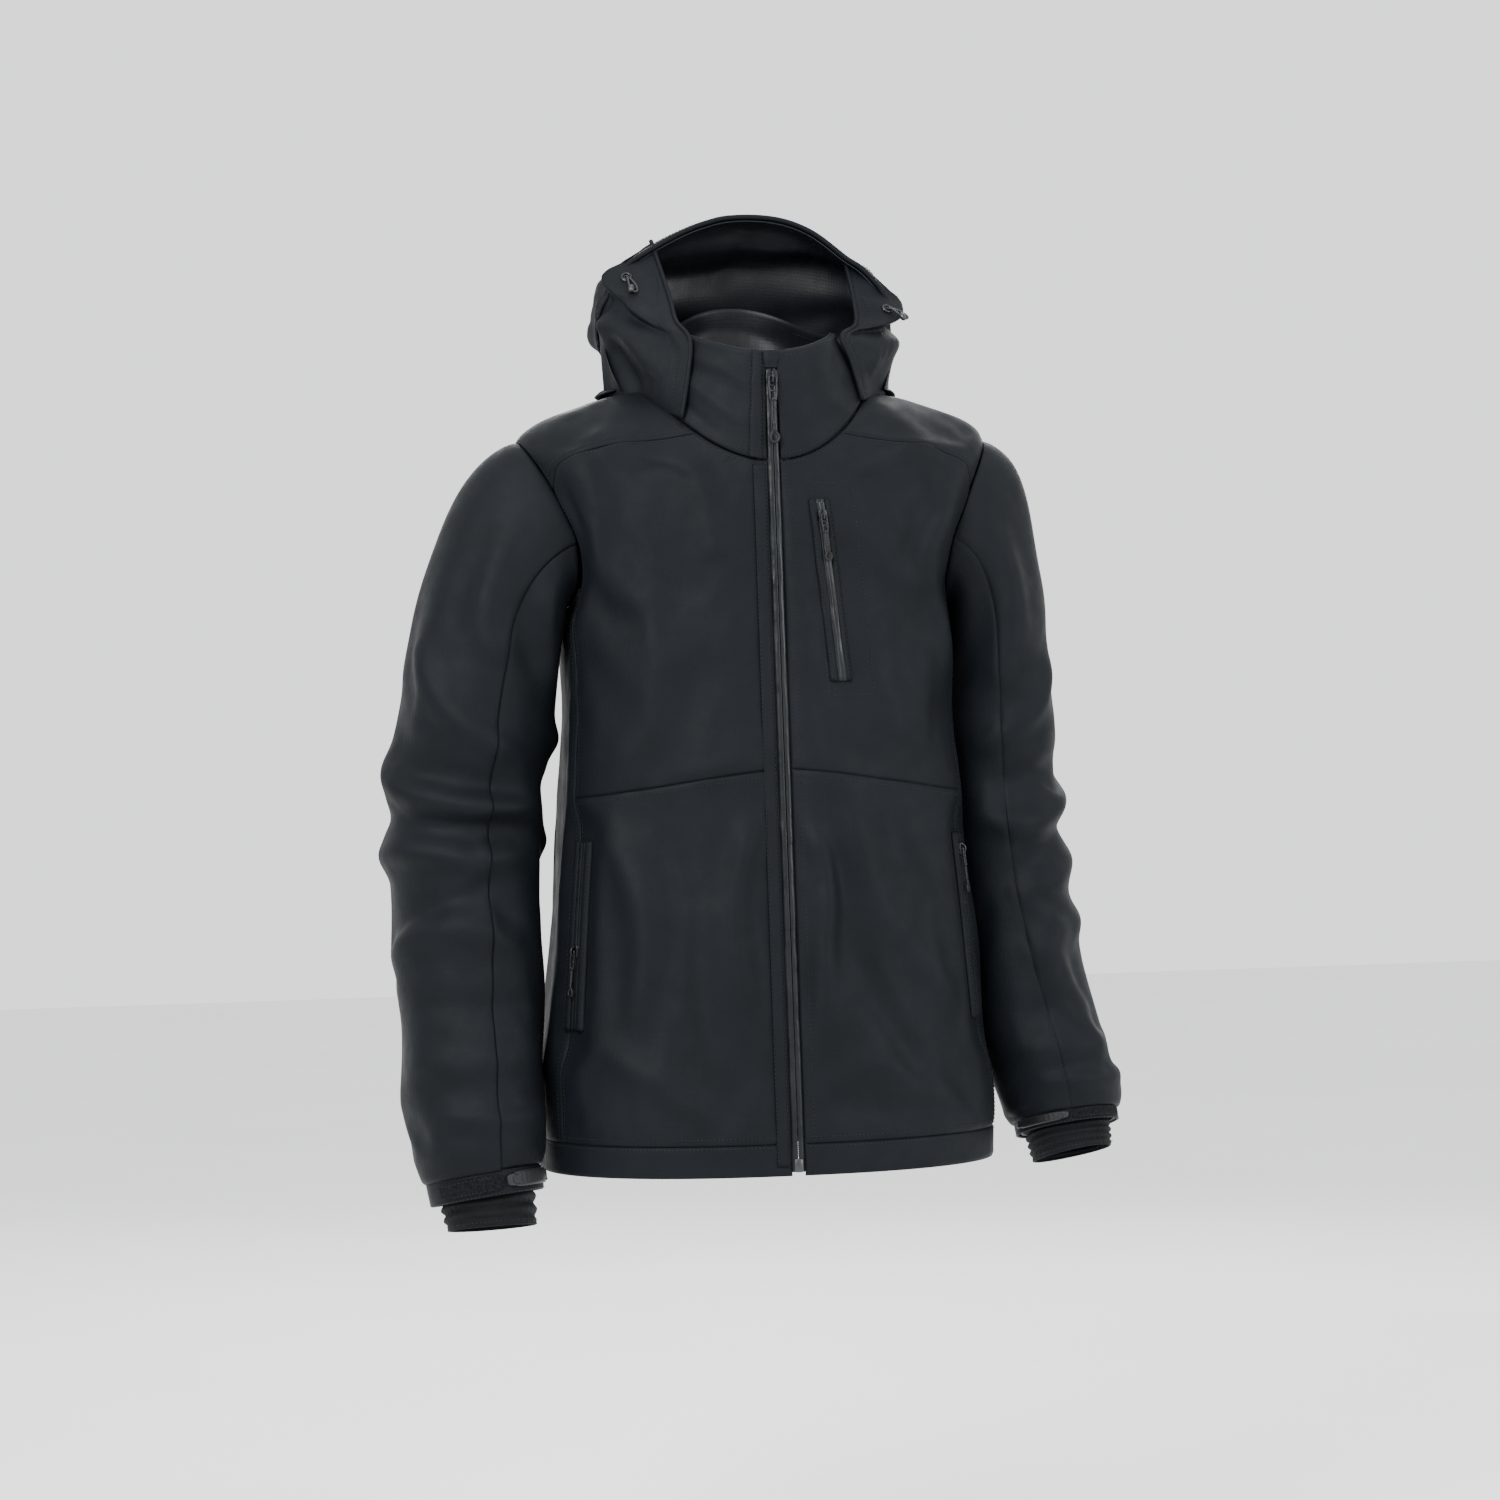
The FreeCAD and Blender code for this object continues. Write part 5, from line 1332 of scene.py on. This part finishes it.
# laminated strips of the main zip, their rolled edges meeting on the centre front
profile = np.array([(0.22, 1.5), (0.22, 0.55), (0.5, 0.15), (1.2, 0.0), (2.4, 0.05), (3.6, 0.35),
                    (4.6, 0.9), (5.4, 1.9), (6.4, 2.7), (9.5, 3.0), (13.2, 3.1)])
down = np.arange(0, MAIN.long - 1, 2.4)
for hand, side in SIDES:
    rows = []
    heave = 1.1 * smooth_noise(down, 0.030, hand * 3.3) + 0.55 * smooth_noise(down, 0.09, 9 + hand)
    tilt = 0.16 * smooth_noise(down, 0.045, 4 + 2 * hand) + 0.07 * smooth_noise(down, 0.13, hand)
    for d, h, a in zip(down, heave, tilt):
        keep = np.clip((profile[:, 0] - 0.3) / 3.0, 0, 1) * np.clip((8 - profile[:, 0]) / 3.0, 0, 1)
        y = profile[:, 1] + keep * h * 0.5 + a * profile[:, 0] * (profile[:, 0] < 5.0)
        rows.append(np.stack([hand * profile[:, 0], y, np.full(len(y), -d)], 1))
    p = MAIN.place(np.concatenate(rows), MAIN.start).reshape(len(down), len(profile), 3)
    n = np.broadcast_to(np.array([0, -1.0, 0]), p.shape)
    obj = bent_grid("zip_tape_%s_strip" % side, p, n, 0.55, "jacket", "laminated_tape",
                    "zip_tape_%s" % side)

# the coil behind the strips: one spiral sewn to each tape
pitch = 1.7
turns = int((MAIN.long - 16) / pitch)
a = np.linspace(0, turns * 2 * np.pi, turns * (8))
coils = []
for hand in (-1, 1):
    x = hand * 1.45 + 1.25 * np.cos(a)
    z = -2.0 - a / (2 * np.pi) * pitch - (pitch / 2 if hand > 0 else 0)
    coils.append(tube(MAIN.place(np.stack([x, 2.75 + 0.75 * np.sin(a), z], 1), MAIN.start), 0.36, 4))
obj = add_mesh("zip_coils_spiral", *merged(coils))
piece(obj, "jacket", "zip_plastic", "zip_coils")

# end box and the garage of the top
box = round_plate([(-3.4, 5.5), (3.4, 5.5), (3.8, -4.6), (2.4, -5.6), (-2.4, -5.6), (-3.8, -4.6)],
                  -0.9, 3.4, 0.5)
obj = add_mesh("zip_end_box_moulded", MAIN.place(box[0], MAIN.start - MAIN.z * (MAIN.long - 6.5)),
               box[1])
piece(obj, "jacket", "zip_plastic", "zip_end_box")
g, f = np.meshgrid(np.linspace(-1, 1, 15), np.linspace(0, 1, 12))
half = 7.4 - 1.4 * f ** 3
y = -3.1 + 3.0 * np.abs(g) ** 3.2 + 2.6 * (1 - np.minimum(1, f / 0.12)) ** 2 * 0.4 + 0.35 * np.sin(f * 9)
p = MAIN.place(np.stack([g * half, y, 1.2 - 14.6 * f], 2), MAIN.start).reshape(g.shape + (3,))
obj = bent_grid("chin_guard_fold", p, np.broadcast_to(np.array([0, -1.0, 0]), p.shape), 0.9,
                "jacket", "shell_fabric", "chin_guard")
stitch_row(p[2:-2, 2] + [0, -0.3, 0], np.broadcast_to([0, -1.0, 0], p[2:-2, 2].shape))
stitch_row(p[2:-2, -3] + [0, -0.3, 0], np.broadcast_to([0, -1.0, 0], p[2:-2, 2].shape))
stitch_row(p[-3, 2:-2] + [0, -0.3, 0], np.broadcast_to([0, -1.0, 0], p[-3, 2:-2].shape))


# ------------------------------------------------------------------ strips on the front
def front_strip(name, xs, zs, offs, thick, slot, *nodes, wave=0.0, mat=None):
    """Strip that follows the front between upright lines, at an offset from it."""
    rows, norms = [], []
    for z in zs:
        row = np.array([front_spot(x, z) for x in xs])
        rows.append(row)
    p = np.array(rows)
    n = point_out(p, grid_normals(p), np.array([0, 0, -300.0]))
    off = np.asarray(offs, float)[None, :] + wave * np.array(
        [[noise.noise(Vector((0.05 * z, 0.09 * x, 3.3))) for x in xs] for z in zs])
    p = p + n * off[..., None]
    obj = bent_grid(name, p, n, thick, "jacket", slot, *nodes, mat=mat)
    return obj, p, n


zs = np.arange(-76.0, HEM + 4, -7.0)
obj, p, n = front_strip("zip_facing_fold", [-18.2, -17.4, -14.5, -11, -8.4, -7.6], zs,
                        [0.2, 1.5, 1.7, 1.8, 1.6, 0.3], 0.9, "laminated_tape", "zip_facing",
                        wave=1.0, mat=SHELL)
stitch_row(p[:, 1] + n[:, 1] * 0.1, n[:, 1])
stitch_row(p[:, 4] + n[:, 4] * 0.1, n[:, 4])

# chest pocket: welts each side of the zip, its tape, and the sewn outline of the bag
spots = [(38.0 + 14.0 * k / 24, -106.0 - 152.0 * k / 24) for k in range(25)]


def along_front(name, spots, across, offs, thick, slot, *nodes, wave=0.0, mat=None):
    p = np.array([[front_spot(x + dx, z) for dx in across] for x, z in spots])
    n = point_out(p, grid_normals(p), np.array([0, 0, -200.0]))
    k = np.array([[noise.noise(Vector((0.07 * z, dx, 1.3))) for dx in across] for x, z in spots])
    p = p + n * (np.asarray(offs)[None, :, None] + wave * k[..., None])
    return bent_grid(name, p, n, thick, "jacket", slot, *nodes, mat=mat), p, n


CHEST_LIFT = 1.9
along_front("chest_zip_strip", spots, [-3.6, -1.6, -0.3, 0.0, 0.3, 1.6, 3.6],
            np.array([1.1, 1.3, 1.2, 0.6, 1.2, 1.3, 1.1]) + CHEST_LIFT - 1.4, 0.7,
            "laminated_tape", "chest_zip_tape", wave=0.8)
for k, (a, b) in enumerate(((-10.5, -3.2), (3.2, 8.4))):
    offs = np.array([0.6, 2.4, 3.0, 2.8, 1.2]) if k == 0 else np.array([1.2, 2.4, 2.6, 2.2, 0.6])
    obj, p, n = along_front("chest_zip_welt_%d" % (k + 1), spots, np.linspace(a, b, 5), offs,
                            1.0, "shell_fabric", wave=1.2)
    stitch_row(p[:, 1 if k == 0 else 3] + n[:, 1] * 0.2, n[:, 1])
frame_path = [(30, -92), (66, -92), (80, -270), (40, -270), (30, -92)]
for a, b in zip(frame_path[:-1], frame_path[1:]):
    m = 26
    q = np.array([front_spot(a[0] + (b[0] - a[0]) * i / m, a[1] + (b[1] - a[1]) * i / m)
                  for i in range(m + 1)])
    near = PANELS[[p.name for p in PANELS].index("front_left_upper_cloth")]
    flat, out = near.p.reshape(-1, 3), near.now.reshape(-1, 3)
    pick = [int(np.argmin(np.sum((flat - s) ** 2, axis=1))) for s in q]
    height = np.array([np.dot(flat[i] - s, out[i]) for i, s in zip(pick, q)])
    height = np.convolve(np.pad(height, 3, "edge"), np.ones(7) / 7, "valid")
    stitch_row(q + out[pick] * height[:, None], out[pick])

# hand pockets: tape and welts beside the side seams
for hand, side in SIDES:
    z = HAND[side]
    t = mirrored(23.0, hand)
    lo, hi = 0.6, 4.0
    levels = np.linspace(1.02, 2.72, 26)
    p0 = body_at(np.full(26, t), levels)
    levels = np.interp(np.linspace(-388, -545, 26), p0[::-1, 2][::-1], levels) \
        if p0[0, 2] > p0[-1, 2] else np.interp(np.linspace(-388, -545, 26), p0[:, 2], levels)
    for word, us, offs, thick, slot, node, mat in (
            ("strip", (-1.3, -0.6, -0.1, 0.0, 0.1, 0.6, 1.3), (1.6, 1.9, 1.8, 1.2, 1.8, 1.9, 1.6),
             0.7, "laminated_tape", "hand_zip_tapes", None),
            ("welt_front", (1.2, 2.2, 3.4, 4.4), (1.8, 3.6, 3.4, 1.0), 1.0, "shell_fabric", None, None),
            ("welt_side", (-4.2, -3.2, -2.1, -1.2), (1.0, 3.0, 3.2, 1.8), 1.0, "shell_fabric", None,
             None)):
        us = np.array(us) * 1.35
        g, f = np.meshgrid(t + (us if hand > 0 else -us), levels)
        p, n = surface_grid(body_at, g, f, np.broadcast_to(np.array(offs), g.shape),
                            np.array([0, -78, -460.0]))
        nodes_of = [node] if node else []
        bent_grid("hand_zip_%s_%s" % (side, word), p, n, thick, "jacket", slot, *nodes_of, mat=mat)
        if not node:
            c = 1 if "side" in word else 2
            stitch_row(p[:, c] + n[:, c] * 0.1, n[:, c])


# ------------------------------------------------------------------ cuffs
def sleeve_axis(s, hand):
    turn = np.linspace(0, 360, 24, endpoint=False)
    return sleeve_at(turn, np.full(24, s), hand).mean(axis=0)


def rounded_patch(u0, u1, s0, s1, nu, ns, corner):
    """Grid over a patch with rounded corners, in surface coordinates."""
    g, f = np.meshgrid(np.linspace(-1, 1, nu), np.linspace(-1, 1, ns))
    square = 1 - corner * 0.29
    k = np.maximum(np.abs(g), np.abs(f))
    r = np.sqrt(g * g + f * f)
    pull = np.where(r > 0, 1 - (1 - square) * (np.minimum(np.abs(g), np.abs(f))
                                               / np.maximum(k, 1e-6)) ** 4 * k, 1)
    u = (u0 + u1) / 2 + (u1 - u0) / 2 * g * pull
    s = (s0 + s1) / 2 + (s1 - s0) / 2 * f * pull
    return u, s


for hand, side in SIDES:
    def surf(u, s, hand=hand):
        return sleeve_at(u, s, hand)

    mid = sleeve_axis(7.65, hand)
    u, s = rounded_patch(30, 102, 7.44, 7.90, 40, 16, 0.5)
    p, n = surface_grid(surf, u, s, 1.3, mid)
    rim = np.minimum.reduce([np.arange(16)[:, None] + 0 * u, 15 - np.arange(16)[:, None] + 0 * u,
                             np.arange(40)[None, :] + 0 * u, 39 - np.arange(40)[None, :] + 0 * u])
    rough = np.array([noise.noise(Vector(q) * 1.1) for q in p.reshape(-1, 3)]).reshape(rim.shape)
    p = p + n * (np.minimum(rim, 2)[..., None] * 0.35 - 0.5 + 0.5 * rough[..., None])
    obj = bent_grid("cuff_patch_%s_pile" % side, p, n, 1.0, "jacket", "loop_pile", sub=2)
    if hand > 0:
        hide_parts("cuff_patches")
    stitch_row(p[2, 2:-2], n[2, 2:-2])
    stitch_row(p[-3, 2:-2], n[-3, 2:-2])
    # tab: soft edge, raised face panel and grip ribs
    u, s = rounded_patch(104, 169, 7.45, 7.87, 36, 18, 0.9)
    p, n = surface_grid(surf, u, s, 4.0, mid)
    rim = np.minimum.reduce([np.arange(18)[:, None] + 0 * u, 17 - np.arange(18)[:, None] + 0 * u,
                             np.arange(36)[None, :] + 0 * u, 35 - np.arange(36)[None, :] + 0 * u])
    p = p - n * (np.array([0.9, 0.25, 0.0])[np.minimum(rim, 2).astype(int)])[..., None]
    body = "cuff_tab_%s" % side
    obj = bent_grid(body + "_edge", p, n, 2.0, body, "moulded_rubber", body, sub=2)
    u, s = rounded_patch(109, 150, 7.50, 7.82, 30, 16, 0.9)
    ribs = 0.22 * (np.sin(np.linspace(0, 7 * 2 * np.pi, 30))[None, :] > 0.2) * (u < 128)
    p, n = surface_grid(surf, u, s, 4.55 + ribs, mid)
    bent_grid(body + "_face", p, n, 0.8, body, "moulded_rubber", mat=RUBBER_DARK)

    # knitted wrist gaiter: drawn in, ribbed, creased
    end = 8.75 if hand < 0 else 9.1

    def wrist(u, s, hand=hand):
        a, b = sleeve_at(u, np.full_like(s, 7.9), hand), sleeve_at(u, np.full_like(s, 8.0), hand)
        q = sleeve_at(u, np.minimum(s, 8.0), hand)
        return q + (b - a) * (np.maximum(s - 8.0, 0) * 10.0)[:, None]

    cols = 96
    g, f = np.meshgrid(np.linspace(0, 360, cols + 1), np.linspace(0, 1, 26))
    s = 7.5 + (end - 7.5) * f
    p, n = surface_grid(wrist, g, s, -8.0 - 2.0 * f, mid)
    bunch = (1.6 * np.sin(s * 21 + 1.4 * np.sin(np.radians(g)) + 0.8 * np.sin(np.radians(3 * g)))
             * np.clip((s - 7.7) * 3, 0, 1) * np.clip((end - s) * 5, 0.15, 1))
    rib = 0.30 * np.sin(np.radians(g) * 32)
    p = p + n * (bunch + rib)[..., None]
    p[-1:] -= n[-1:] * 0.6
    obj = bent_grid("wrist_gaiter_%s_knit" % side, p, n, 1.2, "jacket", "stretch_knit",
                    "wrist_gaiter_%s" % side, ring=True)
    stitch_row(p[-3], n[-3])
    hem_ring, hem_n = p[-1, :-1], n[-1, :-1]
    obj = add_mesh("wrist_gaiter_%s_edge" % side, *tube(hem_ring - hem_n * 0.5, 1.0, 6, True))
    piece(obj, "jacket", "stretch_knit")
    # inner sleeve lining
    g, f = np.meshgrid(np.linspace(0, 360, 61), np.linspace(0, 1, 70))
    s = 0.55 + (7.93 - 0.55) * f
    mids = np.array([sleeve_axis(k, hand) for k in s[:, 0]])
    p, n = lifted(surf, g.ravel(), s.ravel(), np.full(g.size, -4.6), np.repeat(mids, 61, axis=0))
    p = p + n * wander(p, 0.03, 2.0, 2.0)[:, None]
    p, n = p.reshape(g.shape + (3,)), n.reshape(g.shape + (3,))
    obj = bent_grid("sleeve_%s_lining_cloth" % side, p, n, 1.0, "jacket", "lining_fabric",
                    "sleeve_%s_lining" % side, ring=True, sub=0)

# ------------------------------------------------------------------ hood cord locks
for hand, side in SIDES:
    base = hood_at(np.array([52.0 * hand]), np.array([30.0]))[0]
    out = np.array([0.723 * hand, 0.599, 0.346])
    out /= np.linalg.norm(out)
    across = np.cross(out, [0, 0, 1.0])
    across /= np.linalg.norm(across)
    up = np.cross(across, out)

    def turned(heights, radii, sides=28, oval=1.0):
        a = np.linspace(0, 2 * np.pi, sides, endpoint=False)
        v = [base + out * h + r * (np.cos(a)[:, None] * across * oval + np.sin(a)[:, None] * up)
             for h, r in zip(heights, radii)]
        n = len(heights)
        f = [(i * sides + k, i * sides + (k + 1) % sides, (i + 1) * sides + (k + 1) % sides,
              (i + 1) * sides + k) for i in range(n - 1) for k in range(sides)]
        return np.concatenate(v), f

    shell = turned([0.4, 0.6, 1.6, 6.0, 10.5, 12.4, 13.3, 13.4, 13.0, 6.0, 3.4, 3.4],
                   [5.0, 5.9, 6.0, 5.3, 5.8, 6.0, 5.6, 4.6, 3.9, 3.7, 3.5, 0.05])
    obj = add_mesh("hood_lock_%s_shell" % side, *shell)
    piece(obj, "hood", "lock_plastic")
    if hand > 0:
        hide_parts("hood_locks")
    press = turned([8.2, 8.2, 16.8, 17.9, 18.3, 18.35], [0.05, 3.0, 3.0, 2.6, 1.7, 0.05])
    obj = add_mesh("hood_button_%s_dome" % side, *press)
    piece(obj, "hood_button_%s" % side, "lock_plastic", "hood_lock_button_%s" % side)

# ------------------------------------------------------------------ stitches, rest of the solids
for word, body in (("jacket", "jacket"), ("hood", "hood"), ("hood_fronts", HOOD_BEND)):
    obj = add_mesh("%s_stitches" % word, *merged(STITCHES[word]))
    piece(obj, body, "shell_fabric", mat=THREAD)

shown = {"body_insulation": FILL, "upper_insulation": FILL, "body_lining": LINING,
         "upper_lining": LINING, "storm_flap": LINING, "hand_pocket_bags": LINING,
         "chest_pocket_bag": LINING, "powder_skirt": LINING, "hanger_loop": WEBBING}
for word, mat in shown.items():
    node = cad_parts[word]
    node.data.materials.clear()
    node.data.materials.append(mat)
    node.data.polygons.foreach_set("use_smooth", [word != "hanger_loop"] * len(node.data.polygons))
for word, tall, held in (("body_lining", 0.46, "hung"), ("upper_lining", 0.40, "hung"),
                         ("powder_skirt", 0.10, "gathered"), ("storm_flap", 0.56, "hung")):
    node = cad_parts[word]

# ------------------------------------------------------------------ camera, light and floor
AZ = math.radians(-11.0)
right = Vector((math.cos(AZ), math.sin(AZ), 0))
ahead = Vector((-math.sin(AZ), math.cos(AZ), 0))
target = Vector((0, -0.077, -0.314)) - right * 0.006
camera = bpy.data.objects.new("camera", bpy.data.cameras.new("camera"))
bpy.context.scene.collection.objects.link(camera)
bpy.context.scene.camera = camera
camera.data.lens, camera.data.sensor_width = 89.3, 36.0
camera.data.clip_start, camera.data.clip_end = 0.1, 50
camera.location = target - ahead * 3.2
roll = Matrix.Rotation(math.radians(-1.2), 4, "Z")
aim = Matrix((right, Vector((0, 0, 1)), -ahead)).transposed().to_4x4()
camera.matrix_world = Matrix.Translation(camera.location) @ aim @ roll


def soft_light(name, place, size, power, colour=(1, 1, 1)):
    data = bpy.data.lights.new(name, "AREA")
    data.shape, data.size, data.size_y = "RECTANGLE", size[0], size[1]
    data.energy, data.color = power, colour
    obj = bpy.data.objects.new(name, data)
    bpy.context.scene.collection.objects.link(obj)
    obj.location = place
    way = Vector((0, -0.08, -0.32)) - Vector(place)
    obj.rotation_euler = way.to_track_quat("-Z", "Y").to_euler()


soft_light("key_light", (-1.7, -2.3, 1.5), (1.2, 1.5), 170)
soft_light("fill_light", (2.1, -1.9, 0.5), (1.2, 1.7), 60)
soft_light("top_light", (0.2, -0.3, 2.4), (1.6, 1.2), 22)
soft_light("back_light", (0.6, 2.3, 0.9), (2.0, 1.6), 60)
world = bpy.data.worlds.new("studio")
world.use_nodes = True
world.node_tree.nodes["Background"].inputs["Color"].default_value = (0.96, 0.97, 0.98, 1)
world.node_tree.nodes["Background"].inputs["Strength"].default_value = 1.7
bpy.context.scene.world = world
floor = add_mesh("floor", [(-9000, -9000, -1100), (9000, -9000, -1100), (9000, 9000, -1100),
                           (-9000, 9000, -1100)], [(0, 1, 2, 3)])
floor.data.materials.append(FLOOR)
